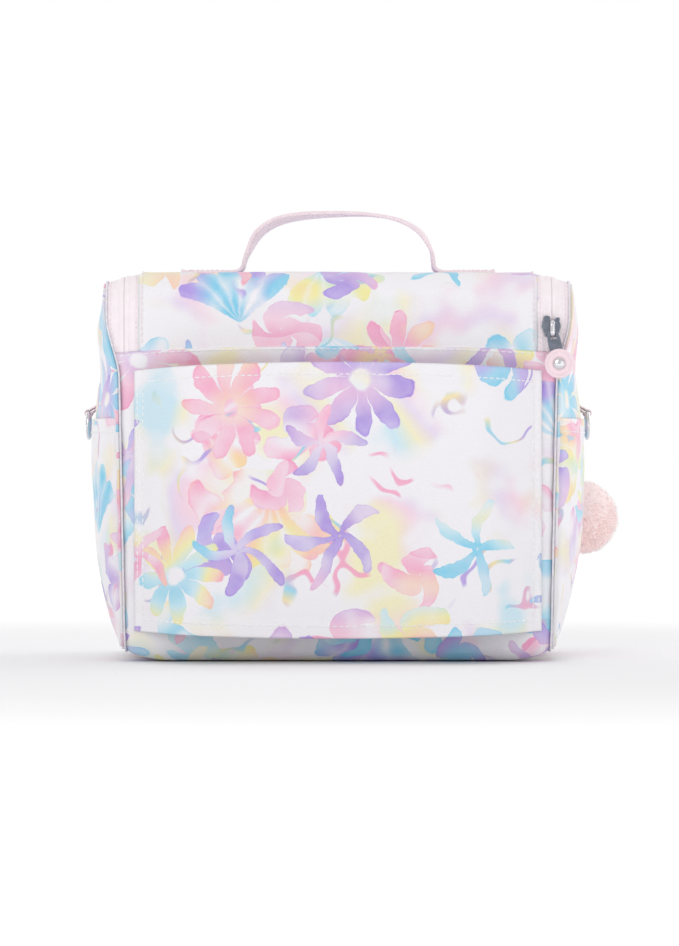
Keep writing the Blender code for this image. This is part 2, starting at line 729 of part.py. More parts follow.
def turned(name, profile, material, centre, steps):
    """A round piece about the Y axis; profile is (radius, distance out towards -Y)."""
    mesh = bpy.data.meshes.new(name)
    form = bmesh.new()
    closed = profile[0][0] > 0.0
    verts = [form.verts.new((radius, -out, 0.0)) for radius, out in profile]
    for first, second in zip(verts, verts[1:]):
        form.edges.new((first, second))
    if closed:
        form.edges.new((verts[-1], verts[0]))
    form.to_mesh(mesh)
    form.free()
    item = place(name, mesh, material, centre)
    screw = item.modifiers.new("turn", "SCREW")
    screw.axis = "Y"
    screw.steps = steps
    screw.render_steps = steps
    screw.use_merge_vertices = True
    screw.merge_threshold = 0.00001
    screw.use_normal_calculate = True
    screw.use_normal_flip = not closed
    return item


# ---------- rings and tabs ----------
def d_ring_points(centre, along, down, half, drop):
    """A D-shaped ring: straight bar through centre, bow hanging down."""
    points = [centre - along * half, centre, centre + along * half]
    bow = half
    straight = drop - bow * 0.9
    for step in range(9):
        angle = step / 8.0 * math.pi
        points.append(centre + along * (bow * 1.06 * math.cos(angle)) + down * (straight + bow * 0.9 * math.sin(angle)))
    return points


def ring_tab(name, centre, turn, width, tail_up):
    """Webbing folded round a ring's bar; the tail runs up the bag or straight back into a seam."""
    outer = []
    if tail_up:
        outer += [(-0.0036, 0.0100), (-0.0036, 0.0020)]
        outer += [(EYE_OUTER * math.cos(a), EYE_OUTER * math.sin(a))
                  for a in (math.radians(160.0 + 30.0 * step) for step in range(9))]
        outer += [(-0.0013, 0.0045), (-0.0016, 0.0100)]
    else:
        outer += [(EYE_OUTER * math.cos(a), EYE_OUTER * math.sin(a))
                  for a in (math.radians(-140.0 + 35.0 * step) for step in range(9))]
        outer += [(-0.0040, 0.0010), (-0.0072, 0.0009), (-0.0072, -0.0009), (-0.0040, -0.0010)]
    hole = [(EYE_INNER * math.cos(a), EYE_INNER * math.sin(a))
            for a in (math.radians(-36.0 * step) for step in range(10))]
    outline(name, [outer, hole], width, PINK_WEBBING, centre, (math.pi / 2.0, 0.0, turn))


def build_d_rings():
    down = Vector((0.0, 0.0, -1.0))
    for name, side in (("left", -1.0), ("right", 1.0)):
        centre = Vector((side * D_RING_BAR.x, D_RING_BAR.y, D_RING_BAR.z))
        turn = 0.0 if side > 0.0 else math.pi
        ring_tab("d_ring_tab_" + name, centre, turn, 0.0130, True)
        points = d_ring_points(centre, Vector((0.0, 1.0, 0.0)), down, D_RING_HALF, D_RING_DROP)
        tube("d_ring_" + name, points, D_RING_WIRE, SILVER_METAL, closed=True, origin=centre)


def build_charm():
    """Pompom hung from a small ring in the front right seam; it leans on the corner of the bag."""
    reach = CHARM_LEAN + Vector((0.0, 0.0, -CHARM_FALL))
    down = reach.normalized()
    ring_tab("charm_tab", CHARM_PIVOT, math.radians(45.0), 0.0080, False)
    ring = d_ring_points(CHARM_PIVOT, CHARM_ALONG, down, 0.0055, 0.0095)
    tube("charm_ring", ring, 0.0009, SILVER_METAL, closed=True, origin=CHARM_PIVOT)
    out = down.cross(CHARM_ALONG).normalized()
    cord = []
    top = 0.0074
    low = reach.length - POMPOM_RADIUS - 0.0018
    for step in range(12):
        angle = step / 12.0 * 2.0 * math.pi
        stretch = top + 0.0021 if math.sin(angle) < 0.0 else low - 0.0021
        cord.append(CHARM_PIVOT + down * (stretch + 0.0021 * math.sin(angle)) + out * (0.0022 * math.cos(angle)))
    tube("charm_cord", cord, 0.0008, PINK_WEBBING, closed=True, origin=CHARM_PIVOT, sides=1)
    bpy.ops.mesh.primitive_uv_sphere_add(segments=24, ring_count=14, radius=POMPOM_RADIUS,
                                         location=CHARM_PIVOT + reach)
    ball = bpy.context.object
    for holder in list(ball.users_collection):
        holder.objects.unlink(ball)
    BAG.objects.link(ball)
    ball.name = "pompom"
    ball.data.name = "pompom"
    ball.data.materials.append(POMPOM)
    for face in ball.data.polygons:
        face.use_smooth = True


# ---------- build everything ----------
build_back_panel()
build_base_panel()
build_front_panel()
build_hinge_strip()
for side_name, side_sign in (("left", -1.0), ("right", 1.0)):
    build_gusset(side_name + "_gusset", side_sign)
    build_side_pocket("side_pocket_" + side_name, side_sign)
    build_piping("seam_piping_" + side_name, side_sign)
    build_handle_tail("handle_tail_" + side_name, side_sign)
build_body_lining()
build_base_board()
build_zip()
build_lid()
build_sleeve()
build_handle()
build_slider()
build_slider_core()
build_slider_bridge()
build_puller()
build_d_rings()
build_charm()
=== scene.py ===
"""Finished look of the boxy toiletry bag with a trolley sleeve, seen from its back.

Frame as in the CAD: metres, +Z up, the sleeve side faces -Y, origin at the bottom centre.
"""

import math
import random

import bmesh
import bpy
from mathutils import Matrix, Vector, noise


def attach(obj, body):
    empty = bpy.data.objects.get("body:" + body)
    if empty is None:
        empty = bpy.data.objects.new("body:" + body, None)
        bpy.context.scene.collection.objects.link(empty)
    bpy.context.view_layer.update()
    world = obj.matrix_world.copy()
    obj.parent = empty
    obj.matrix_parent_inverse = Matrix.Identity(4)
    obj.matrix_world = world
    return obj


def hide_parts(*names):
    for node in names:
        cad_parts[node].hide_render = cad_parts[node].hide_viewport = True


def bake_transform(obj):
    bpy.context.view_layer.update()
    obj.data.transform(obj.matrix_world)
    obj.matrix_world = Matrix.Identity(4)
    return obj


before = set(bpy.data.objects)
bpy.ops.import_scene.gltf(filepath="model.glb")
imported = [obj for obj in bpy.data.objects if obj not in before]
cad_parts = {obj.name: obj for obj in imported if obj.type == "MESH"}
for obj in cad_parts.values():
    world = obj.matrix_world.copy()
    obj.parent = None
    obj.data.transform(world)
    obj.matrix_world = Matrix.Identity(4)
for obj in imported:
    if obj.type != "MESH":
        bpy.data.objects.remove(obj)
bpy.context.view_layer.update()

# ---------- sizes shared with the CAD ----------
HALF_DEPTH = 0.075
HEIGHT = 0.205
LOOP_RADIUS = 0.016
SEAM_LOW = 0.112
SEAM_MID = 0.115
SEAM_HIGH = 0.1218
SEAM_MID_Z = 0.148
SEAM_HIGH_Z = 0.182
EDGE_DROP = 0.005
GUSSET_OFFSET = 0.0017
GUSSET_BULGE = 0.0160
GUSSET_POWER = 2.6
GUSSET_POWER_HIGH = 1.8
GUSSET_POWER_LOW = 3.4
FRONT_CROWN = 0.005
TOP_CROWN = 0.0015
PANEL = 0.0018

ZIP_X = 0.1125               # zip centre line on both sides
ZIP_FRONT_Z = 0.162
ZIP_CORNER = 0.015
TAPE_HALF = 0.0085
LID_SEAM_Z = 0.166
HINGE_Z = 0.188
HINGE_BEND = 0.004           # half height of the strip of cloth that bends when the lid opens

SLEEVE_HALF = 0.107
SLEEVE_FLAT = 0.104
SLEEVE_TUBE_X = 0.074
SLEEVE_PROUD = 0.0193
SLEEVE_TOP_SIDE = 0.1530
SLEEVE_TOP_MID = 0.157
SLEEVE_LOW_SIDE = 0.0160
SLEEVE_LOW_MID = 0.0126

POCKET_TOP_Z = 0.128
STITCH_PITCH = 0.0034

ARC = LOOP_RADIUS * math.pi / 2.0
BASE_HALF = HALF_DEPTH - LOOP_RADIUS
WALL = HEIGHT - 2.0 * LOOP_RADIUS
BACK_START = BASE_HALF + ARC
TOP_START = BACK_START + WALL + ARC
FRONT_START = TOP_START + 2.0 * BASE_HALF + ARC
LOOP_END = FRONT_START + WALL + ARC + BASE_HALF


# ---------- the outer form ----------
def back_at(z):
    """Distance round the band of height z on the back."""
    return BACK_START + z - LOOP_RADIUS


def front_at(z):
    """Distance round the band of height z on the front."""
    return FRONT_START + HEIGHT - LOOP_RADIUS - z


def around(y, z, angle):
    ny = math.cos(angle)
    nz = math.sin(angle)
    return (y + LOOP_RADIUS * ny, z + LOOP_RADIUS * nz, ny, nz)


def loop(distance):
    """Point and outward normal (y, z, ny, nz) on the band's side view; base centre, back, top, front."""
    low = LOOP_RADIUS
    high = HEIGHT - LOOP_RADIUS
    d = distance % LOOP_END
    if d <= BASE_HALF:
        return (-d, 0.0, 0.0, -1.0)
    if d <= BACK_START:
        return around(-BASE_HALF, low, 1.5 * math.pi - (d - BASE_HALF) / LOOP_RADIUS)
    if d <= BACK_START + WALL:
        return (-HALF_DEPTH, low + d - BACK_START, -1.0, 0.0)
    if d <= TOP_START:
        return around(-BASE_HALF, high, math.pi - (d - BACK_START - WALL) / LOOP_RADIUS)
    if d <= TOP_START + 2.0 * BASE_HALF:
        return (d - TOP_START - BASE_HALF, HEIGHT, 0.0, 1.0)
    if d <= FRONT_START:
        return around(BASE_HALF, high, math.pi / 2.0 - (d - TOP_START - 2.0 * BASE_HALF) / LOOP_RADIUS)
    if d <= FRONT_START + WALL:
        return (HALF_DEPTH, high - (d - FRONT_START), 1.0, 0.0)
    if d <= FRONT_START + WALL + ARC:
        return around(BASE_HALF, low, -(d - FRONT_START - WALL) / LOOP_RADIUS)
    return (BASE_HALF - (d - FRONT_START - WALL - ARC), 0.0, 0.0, -1.0)


def ease(value):
    value = min(max(value, 0.0), 1.0)
    return value * value * (3.0 - 2.0 * value)


def bump(value, centre, width):
    """A smooth ridge of height 1 at centre, gone at width either side."""
    reach = abs(value - centre) / width
    return 0.0 if reach >= 1.0 else (1.0 - reach * reach) ** 2


def window(value, start, end):
    if value <= start or value >= end:
        return 0.0
    return math.sin(math.pi * (value - start) / (end - start)) ** 2


def seam_half(z):
    """Half width of the band at height z."""
    if z < SEAM_MID_Z:
        return SEAM_LOW + (SEAM_MID - SEAM_LOW) * z / SEAM_MID_Z
    return SEAM_MID + (SEAM_HIGH - SEAM_MID) * ease((z - SEAM_MID_Z) / (SEAM_HIGH_Z - SEAM_MID_Z))


def band_point(x, distance, lift=0.0):
    """Point of the band at width x, lift in front of its outer face."""
    y, z, ny, nz = loop(distance)
    share = abs(x) / seam_half(z)
    inward = EDGE_DROP * max(0.0, (share - 0.8) / 0.2) ** 2 - lift
    across = max(0.0, 1.0 - share * share)
    inward -= FRONT_CROWN * across * window(distance, FRONT_START, FRONT_START + WALL)
    inward -= TOP_CROWN * across * window(distance, TOP_START, TOP_START + 2.0 * BASE_HALF)
    return Vector((x, y - ny * inward, z - nz * inward))


def gusset_x(y, z):
    """How far out the gusset stands at depth y and height z."""
    half_y = HALF_DEPTH - EDGE_DROP
    half_z = HEIGHT / 2.0 - EDGE_DROP
    share_y = min(abs(y) / half_y, 1.0)
    share_z = min(abs(z - HEIGHT / 2.0) / half_z, 1.0)
    power_z = GUSSET_POWER_HIGH if z > HEIGHT / 2.0 else GUSSET_POWER_LOW
    bulge = (1.0 - share_y ** GUSSET_POWER) * (1.0 - share_z ** power_z)
    return seam_half(z) + GUSSET_OFFSET + GUSSET_BULGE * bulge


def side_limit(z, inset=EDGE_DROP):
    """Half depth of the gusset at height z."""
    radius = LOOP_RADIUS - inset
    below = max(0.0, LOOP_RADIUS - z, z - (HEIGHT - LOOP_RADIUS))
    return BASE_HALF + math.sqrt(max(0.0, radius * radius - min(below, radius) ** 2))


def spread(start, end, count):
    return [start + (end - start) * i / count for i in range(count + 1)]


def ripple(u, v, scale, seed):
    """Smooth noise in -1..1 at a cloth place, features about scale metres across."""
    return noise.noise(Vector((u / scale, v / scale, seed)))


def wrinkle(u, v, seed, amount=1.0):
    """Soft unevenness of hand-sewn cloth, in metres."""
    broad = 0.0006 * ripple(u, v, 0.055, seed)
    fine = 0.00028 * ripple(u * 1.3 + 0.4 * v, v, 0.018, seed + 7.0)
    return amount * (broad + fine)


# ---------- meshes ----------
def add_mesh(name, verts, faces, material, maps=None, smooth=True):
    """A mesh object in the row frame; maps gives each vertex its place on the printed cloth."""
    mesh = bpy.data.meshes.new(name)
    mesh.from_pydata([tuple(v) for v in verts], [], faces)
    if maps is not None:
        layer = mesh.uv_layers.new(name="cloth")
        for item in mesh.loops:
            layer.data[item.index].uv = maps[item.vertex_index]
    mesh.materials.append(material)
    if smooth:
        mesh.polygons.foreach_set("use_smooth", [True] * len(mesh.polygons))
    piece = bpy.data.objects.new(name, mesh)
    bpy.context.scene.collection.objects.link(piece)
    return piece


def grid_mesh(name, rows, material, maps=None, thickness=0.0, closed=False):
    """Rows of points as one cloth; normals face away from the bag. thickness goes inwards."""
    width = len(rows[0])
    verts = [point for row in rows for point in row]
    flat_maps = None if maps is None else [place for row in maps for place in row]
    faces = []
    for i in range(len(rows) - 1):
        for j in range(width if closed else width - 1):
            k = (j + 1) % width
            faces.append((i * width + j, (i + 1) * width + j, (i + 1) * width + k, i * width + k))
    piece = add_mesh(name, verts, faces, material, flat_maps)
    if thickness:
        body = piece.modifiers.new("body", "SOLIDIFY")
        body.thickness = abs(thickness)
        body.offset = -1.0 if thickness > 0.0 else 1.0
    return piece


def merge(name, pieces):
    """Joins several mesh lists (verts, faces) into one."""
    verts = []
    faces = []
    for more_verts, more_faces in pieces:
        base = len(verts)
        verts += more_verts
        faces += [tuple(index + base for index in face) for face in more_faces]
    return verts, faces


def tube_mesh(points, radius, sides=8, closed=False, flat=1.0, up=None):
    """(verts, faces) of a round or flattened cord along points."""
    count = len(points)
    verts = []
    faces = []
    normal = None
    for i, point in enumerate(points):
        before = points[(i - 1) % count] if closed or i > 0 else point
        after = points[(i + 1) % count] if closed or i < count - 1 else point
        along = (after - before).normalized()
        if normal is None:
            guide = up if up is not None else (Vector((0, 0, 1)) if abs(along.z) < 0.9 else Vector((1, 0, 0)))
            normal = guide - along * guide.dot(along)
            normal.normalize()
        else:
            normal = (normal - along * normal.dot(along)).normalized()
        other = along.cross(normal)
        wide = radius[i] if isinstance(radius, (list, tuple)) else radius
        for j in range(sides):
            angle = 2.0 * math.pi * j / sides
            verts.append(point + normal * (wide * flat * math.cos(angle)) + other * (wide * math.sin(angle)))
    for i in range(count if closed else count - 1):
        k = (i + 1) % count
        for j in range(sides):
            m = (j + 1) % sides
            faces.append((i * sides + j, i * sides + m, k * sides + m, k * sides + j))
    if not closed:
        faces.append(tuple(range(sides - 1, -1, -1)))
        faces.append(tuple((count - 1) * sides + j for j in range(sides)))
    return verts, faces


def stitch_run(points, normals, pitch=STITCH_PITCH, radius=0.00032):
    """(verts, faces) of a row of thread stitches lying on the cloth along points."""
    lengths = [0.0]
    for first, second in zip(points, points[1:]):
        lengths.append(lengths[-1] + (second - first).length)
    total = lengths[-1]
    pieces = []
    count = max(1, int(total / pitch))
    step = total / count

    def at(distance):
        distance = min(max(distance, 0.0), total)
        i = 0
        while i < len(lengths) - 2 and lengths[i + 1] < distance:
            i += 1
        share = (distance - lengths[i]) / max(lengths[i + 1] - lengths[i], 1e-9)
        return points[i].lerp(points[i + 1], share), normals[i].lerp(normals[i + 1], share).normalized()

    for number in range(count):
        start = (number + 0.12) * step
        end = (number + 0.88) * step
        bead = []
        radii = []
        for share, lift, size in ((0.0, -0.5, 0.55), (0.22, 0.35, 1.0), (0.78, 0.35, 1.0), (1.0, -0.5, 0.55)):
            place, out = at(start + (end - start) * share)
            bead.append(place + out * radius * lift)
            radii.append(radius * size)
        pieces.append(tube_mesh(bead, radii, sides=5))
    return merge("", pieces)


# ---------- shader helpers ----------
def srgb(code):
    """Colour from a six-digit hex code, linear."""
    parts = [int(code[i:i + 2], 16) / 255.0 for i in (0, 2, 4)]
    linear = [c / 12.92 if c <= 0.04045 else ((c + 0.055) / 1.055) ** 2.4 for c in parts]
    return (*linear, 1.0)


class Sheet:
    """Short ways to add and join nodes in one node tree."""

    def __init__(self, tree):
        self.tree = tree

    def node(self, kind, **settings):
        item = self.tree.nodes.new(kind)
        for key, value in settings.items():
            setattr(item, key, value)
        return item

    def feed(self, socket, value):
        if isinstance(value, bpy.types.NodeSocket):
            self.tree.links.new(value, socket)
        else:
            socket.default_value = value

    def calc(self, operation, first, second=0.0, third=0.0, clamp=False):
        item = self.node("ShaderNodeMath", operation=operation, use_clamp=clamp)
        self.feed(item.inputs[0], first)
        self.feed(item.inputs[1], second)
        self.feed(item.inputs[2], third)
        return item.outputs[0]

    def vector(self, operation, first, second=(0.0, 0.0, 0.0), scale=None):
        item = self.node("ShaderNodeVectorMath", operation=operation)
        self.feed(item.inputs[0], first)
        if operation not in ("SCALE", "LENGTH"):
            self.feed(item.inputs[1], second)
        if scale is not None:
            self.feed(item.inputs["Scale"], scale)
        return item.outputs["Value"] if operation == "LENGTH" else item.outputs["Vector"]

    def remap(self, value, low, high, start=0.0, end=1.0, smooth=True):
        item = self.node("ShaderNodeMapRange", interpolation_type="SMOOTHSTEP" if smooth else "LINEAR")
        self.feed(item.inputs["Value"], value)
        self.feed(item.inputs["From Min"], low)
        self.feed(item.inputs["From Max"], high)
        self.feed(item.inputs["To Min"], start)
        self.feed(item.inputs["To Max"], end)
        return item.outputs["Result"]

    def noise(self, vector, scale, detail=2.0, roughness=0.5, colour=False):
        item = self.node("ShaderNodeTexNoise", noise_dimensions="3D")
        self.feed(item.inputs["Vector"], vector)
        self.feed(item.inputs["Scale"], scale)
        self.feed(item.inputs["Detail"], detail)
        self.feed(item.inputs["Roughness"], roughness)
        return item.outputs["Color"] if colour else item.outputs["Fac"]

    def mix(self, factor, first, second, blend="MIX"):
        item = self.node("ShaderNodeMix", data_type="RGBA", blend_type=blend)
        self.feed(item.inputs["Factor"], factor)
        self.feed(item.inputs[6], first)
        self.feed(item.inputs[7], second)
        return item.outputs[2]

    def ramp(self, factor, stops, interpolation="LINEAR"):
        item = self.node("ShaderNodeValToRGB")
        item.color_ramp.interpolation = interpolation
        while len(item.color_ramp.elements) > 1:
            item.color_ramp.elements.remove(item.color_ramp.elements[-1])
        item.color_ramp.elements[0].position = stops[0][0]
        item.color_ramp.elements[0].color = stops[0][1]
        for place, colour in stops[1:]:
            stop = item.color_ramp.elements.new(place)
            stop.color = colour
        self.feed(item.inputs["Fac"], factor)
        return item.outputs["Color"]

    def group(self, tree, **inputs):
        item = self.node("ShaderNodeGroup")
        item.node_tree = tree
        for key, value in inputs.items():
            self.feed(item.inputs[key], value)
        return item


def new_group(name, inputs, outputs):
    """An empty node group: inputs and outputs are (name, kind, default) lists."""
    tree = bpy.data.node_groups.new(name, "ShaderNodeTree")
    for label, kind, default in inputs:
        socket = tree.interface.new_socket(label, in_out="INPUT", socket_type=kind)
        if default is not None:
            socket.default_value = default
    for label, kind in outputs:
        tree.interface.new_socket(label, in_out="OUTPUT", socket_type=kind)
    sheet = Sheet(tree)
    return tree, sheet, sheet.node("NodeGroupInput"), sheet.node("NodeGroupOutput")


FLOAT = "NodeSocketFloat"
COLOUR = "NodeSocketColor"
VECTOR = "NodeSocketVector"

# pigments of the print, as they look on white cloth
CLOTH_WHITE = srgb("F5F3F7")
PIGMENTS = [(0.00, "F59AC4"), (0.09, "FAC3DA"), (0.19, "D9B4E4"), (0.30, "A98BE0"), (0.40, "B9A2EA"), (0.50, "8FD3F0"),
            (0.60, "72D0EE"), (0.69, "C2E8F4"), (0.77, "F4EDA6"), (0.85, "FBD9B0"), (0.93, "F8A9C8"), (1.00, "F9C6DB")]


# ---------- print: one kind of watercolour motif scattered over the cloth ----------
def make_motif_group():
    tree, s, given, result = new_group(
        "watercolour_motif",
        [("Vector", VECTOR, None), ("Cell", FLOAT, 0.05), ("Seed", FLOAT, 0.0), ("Arms", FLOAT, 5.0),
         ("Core", FLOAT, 0.3), ("Sharpness", FLOAT, 1.0), ("Size", FLOAT, 0.4), ("Swirl", FLOAT, 0.0),
         ("Share", FLOAT, 0.8), ("Fade", FLOAT, 0.5), ("Ribs", FLOAT, 0.0), ("Heart", FLOAT, 0.0),
         ("Fan", FLOAT, 0.0), ("Warp", FLOAT, 0.016)],
        [("Color", COLOUR), ("Mask", FLOAT)])
    cloth = given.outputs["Vector"]
    seed = given.outputs["Seed"]
    size_in = given.outputs["Size"]
    fan = given.outputs["Fan"]
    shift = s.node("ShaderNodeCombineXYZ")
    s.feed(shift.inputs["X"], seed)
    s.feed(shift.inputs["Y"], s.calc("MULTIPLY", seed, 1.7))
    s.feed(shift.inputs["Z"], s.calc("MULTIPLY", seed, 0.31))
    moved = s.vector("ADD", cloth, shift.outputs[0])
    # hand-painted unevenness of the outline
    broad = s.vector("SUBTRACT", s.noise(moved, 42.0, 1.0, colour=True), (0.5, 0.5, 0.5))
    fine = s.vector("SUBTRACT", s.noise(moved, 210.0, 2.0, colour=True), (0.5, 0.5, 0.5))
    warped = s.vector("ADD", moved, s.vector("SCALE", broad, scale=given.outputs["Warp"]))
    warped = s.vector("ADD", warped, s.vector("SCALE", fine, scale=0.0026))
    cells = s.vector("SCALE", warped, scale=s.calc("DIVIDE", 1.0, given.outputs["Cell"]))
    voronoi = s.node("ShaderNodeTexVoronoi", voronoi_dimensions="2D", feature="F1")
    s.feed(voronoi.inputs["Vector"], cells)
    voronoi.inputs["Scale"].default_value = 1.0
    voronoi.inputs["Randomness"].default_value = 0.58
    local = s.vector("SUBTRACT", cells, voronoi.outputs["Position"])
    parts = s.node("ShaderNodeSeparateXYZ")
    s.feed(parts.inputs[0], local)
    chance = s.node("ShaderNodeSeparateColor")
    s.feed(chance.inputs[0], voronoi.outputs["Color"])
    turn = s.calc("MULTIPLY", chance.outputs[0], 6.2832)
    # a fan grows from a point at its foot instead of from its middle
    foot = s.calc("MULTIPLY", s.calc("MULTIPLY", fan, size_in), 0.48)
    across = s.calc("ADD", parts.outputs[0], s.calc("MULTIPLY", foot, s.calc("COSINE", turn)))
    up = s.calc("SUBTRACT", parts.outputs[1], s.calc("MULTIPLY", foot, s.calc("SINE", turn)))
    reach = s.calc("SQRT", s.calc("ADD", s.calc("MULTIPLY", across, across), s.calc("MULTIPLY", up, up)))
    angle = s.calc("ADD", s.calc("ARCTAN2", up, across), turn)
    angle = s.calc("ADD", angle, s.calc("MULTIPLY", reach, given.outputs["Swirl"]))
    wave = s.calc("ABSOLUTE", s.calc("COSINE", s.calc("MULTIPLY", angle, s.calc("MULTIPLY", given.outputs["Arms"], 0.5))))
    rib = wave
    wave = s.calc("POWER", wave, given.outputs["Sharpness"])
    core = given.outputs["Core"]
    form = s.calc("ADD", core, s.calc("MULTIPLY", s.calc("SUBTRACT", 1.0, core), wave))
    size = s.calc("MULTIPLY", size_in, s.remap(chance.outputs[1], 0.0, 1.0, 0.74, 1.0, smooth=False))
    edge = s.calc("SUBTRACT", s.calc("MULTIPLY", form, size), reach)
    facing = s.calc("SUBTRACT", s.calc("COSINE", angle), s.calc("SUBTRACT", s.calc("MULTIPLY", fan, 1.62), 1.1))
    edge = s.calc("MINIMUM", edge, s.calc("MULTIPLY", facing, 0.4))
    inside = s.remap(edge, -0.004, 0.010)
    used = s.calc("LESS_THAN", chance.outputs[2], given.outputs["Share"])
    open_heart = s.remap(s.calc("SUBTRACT", reach, s.calc("MULTIPLY", given.outputs["Heart"], size)), -0.01, 0.02)
    mask = s.calc("MULTIPLY", s.calc("MULTIPLY", inside, used), open_heart, clamp=True)
    # pigment: a hue per motif that runs into another, pooled at the rim, thinned with water elsewhere
    drift = s.calc("MULTIPLY", s.calc("SUBTRACT", s.noise(moved, 30.0, 0.0), 0.5), 0.60)
    pick = s.calc("FRACT", s.calc("ADD", s.calc("MULTIPLY", chance.outputs[1], 5.37), drift))
    hue = s.ramp(pick, [(place, srgb(code)) for place, code in PIGMENTS])
    pool = s.remap(edge, 0.0, 0.035, 0.26, 0.0)
    water = s.remap(s.noise(moved, 46.0, 1.0), 0.34, 0.60, given.outputs["Fade"], 0.92)
    grains = s.remap(s.noise(moved, 150.0, 3.0, 0.6), 0.28, 0.72, 0.86, 1.0)
    ribs = s.calc("MULTIPLY", given.outputs["Ribs"], s.calc("SUBTRACT", rib, 0.7))
    strength = s.calc("ADD", s.calc("ADD", s.calc("MULTIPLY", water, grains), pool), ribs, clamp=True)
    s.feed(result.inputs["Color"], s.mix(strength, CLOTH_WHITE, hue))
    s.feed(result.inputs["Mask"], mask)
    return tree


MOTIF = make_motif_group()

# the motifs from the lowest layer of paint to the top one
PRINT_LAYERS = [
    dict(Cell=0.060, Seed=61.0, Arms=3.0, Core=0.42, Sharpness=0.8, Size=0.42, Swirl=4.0, Share=0.46, Fade=0.10,
         Warp=0.024),
    dict(Cell=0.078, Seed=11.0, Arms=15.0, Core=0.80, Sharpness=0.8, Size=0.60, Share=0.66, Fade=0.20, Ribs=0.55,
         Fan=1.0, Warp=0.010),
    dict(Cell=0.050, Seed=53.0, Arms=3.0, Core=0.30, Sharpness=0.9, Size=0.42, Swirl=6.0, Share=0.40, Fade=0.62),
    dict(Cell=0.086, Seed=23.0, Arms=9.0, Core=0.06, Sharpness=0.50, Size=0.38, Swirl=0.4, Share=0.44, Fade=0.60,
         Heart=0.16, Warp=0.010),
    dict(Cell=0.062, Seed=37.0, Arms=5.0, Core=0.13, Sharpness=4.2, Size=0.455, Swirl=1.1, Share=0.62, Fade=0.45,
         Warp=0.013)]


def make_print_group():
    """The whole print: washes, shells, blots, daisies, starfish and a few squiggles over white."""
    tree, s, given, result = new_group("pastel_print", [("Vector", VECTOR, None), ("Seed", FLOAT, 0.0)],
                                       [("Color", COLOUR)])
    cloth = given.outputs["Vector"]
    seed = given.outputs["Seed"]
    shift = s.node("ShaderNodeCombineXYZ")
    s.feed(shift.inputs["X"], seed)
    s.feed(shift.inputs["Y"], 1.7)
    place = s.vector("ADD", cloth, shift.outputs[0])
    wash = s.remap(s.noise(place, 26.0, 2.0, 0.5), 0.47, 0.64)
    wash_hue = s.ramp(s.noise(s.vector("ADD", place, (5.0, 2.0, 0.0)), 17.0, 0.0),
                      [(0.30, srgb("F6EFB8")), (0.42, srgb("F9CFE1")), (0.52, srgb("E6D5F1")), (0.62, srgb("F6EEBC")),
                       (0.72, srgb("C3E8F5"))])
    colour = s.mix(s.calc("MULTIPLY", wash, 0.75), CLOTH_WHITE, wash_hue)
    # thin painted lines that wander in short stretches
    level = s.noise(place, 34.0, 1.0)
    line = s.remap(s.calc("ABSOLUTE", s.calc("SUBTRACT", level, 0.5)), 0.010, 0.022, 1.0, 0.0)
    stretch = s.remap(s.noise(s.vector("ADD", place, (9.0, 4.0, 0.0)), 30.0, 1.0), 0.53, 0.60)
    line_hue = s.ramp(s.noise(s.vector("ADD", place, (2.0, 7.0, 0.0)), 22.0, 0.0),
                      [(0.36, srgb("F7A3C6")), (0.47, srgb("8FD8F0")), (0.56, srgb("F6E3A0")), (0.64, srgb("B39AE4"))])
    for layer in PRINT_LAYERS[:2]:
        motif = s.group(MOTIF, Vector=cloth, **{**layer, "Seed": s.calc("ADD", seed, layer["Seed"])})
        colour = s.mix(motif.outputs["Mask"], colour, motif.outputs["Color"])
    colour = s.mix(s.calc("MULTIPLY", s.calc("MULTIPLY", line, stretch), 0.85), colour, line_hue)
    for layer in PRINT_LAYERS[2:]:
        motif = s.group(MOTIF, Vector=cloth, **{**layer, "Seed": s.calc("ADD", seed, layer["Seed"])})
        colour = s.mix(motif.outputs["Mask"], colour, motif.outputs["Color"])
    s.feed(result.inputs["Color"], colour)
    return tree


PRINT = make_print_group()


def make_weave_group():
    """Fine plain weave as a height between 0 and 1 at a cloth place in metres."""
    tree, s, given, result = new_group("plain_weave", [("Vector", VECTOR, None), ("Pitch", FLOAT, 0.0009)],
                                       [("Height", FLOAT)])
    parts = s.node("ShaderNodeSeparateXYZ")
    s.feed(parts.inputs[0], given.outputs["Vector"])
    turns = s.calc("DIVIDE", 6.2832, given.outputs["Pitch"])
    across = s.calc("SINE", s.calc("MULTIPLY", parts.outputs[0], turns))
    along = s.calc("SINE", s.calc("MULTIPLY", parts.outputs[1], turns))
    s.feed(result.inputs["Height"], s.calc("ADD", s.calc("MULTIPLY", s.calc("MULTIPLY", across, along), 0.5), 0.5))
    return tree


WEAVE = make_weave_group()


def new_material(name, roughness, metallic=0.0):
    material = bpy.data.materials.new(name)
    material.use_nodes = True
    s = Sheet(material.node_tree)
    shader = material.node_tree.nodes["Principled BSDF"]
    shader.inputs["Roughness"].default_value = roughness
    shader.inputs["Metallic"].default_value = metallic
    return material, s, shader


def add_bump(s, shader, height, distance, strength=1.0):
    item = s.node("ShaderNodeBump")
    item.inputs["Strength"].default_value = strength
    item.inputs["Distance"].default_value = distance
    s.feed(item.inputs["Height"], height)
    s.feed(shader.inputs["Normal"], item.outputs["Normal"])


def cloth_place(s):
    """The cloth map of a sewn piece, in metres."""
    return s.node("ShaderNodeUVMap", uv_map="cloth").outputs["UV"]


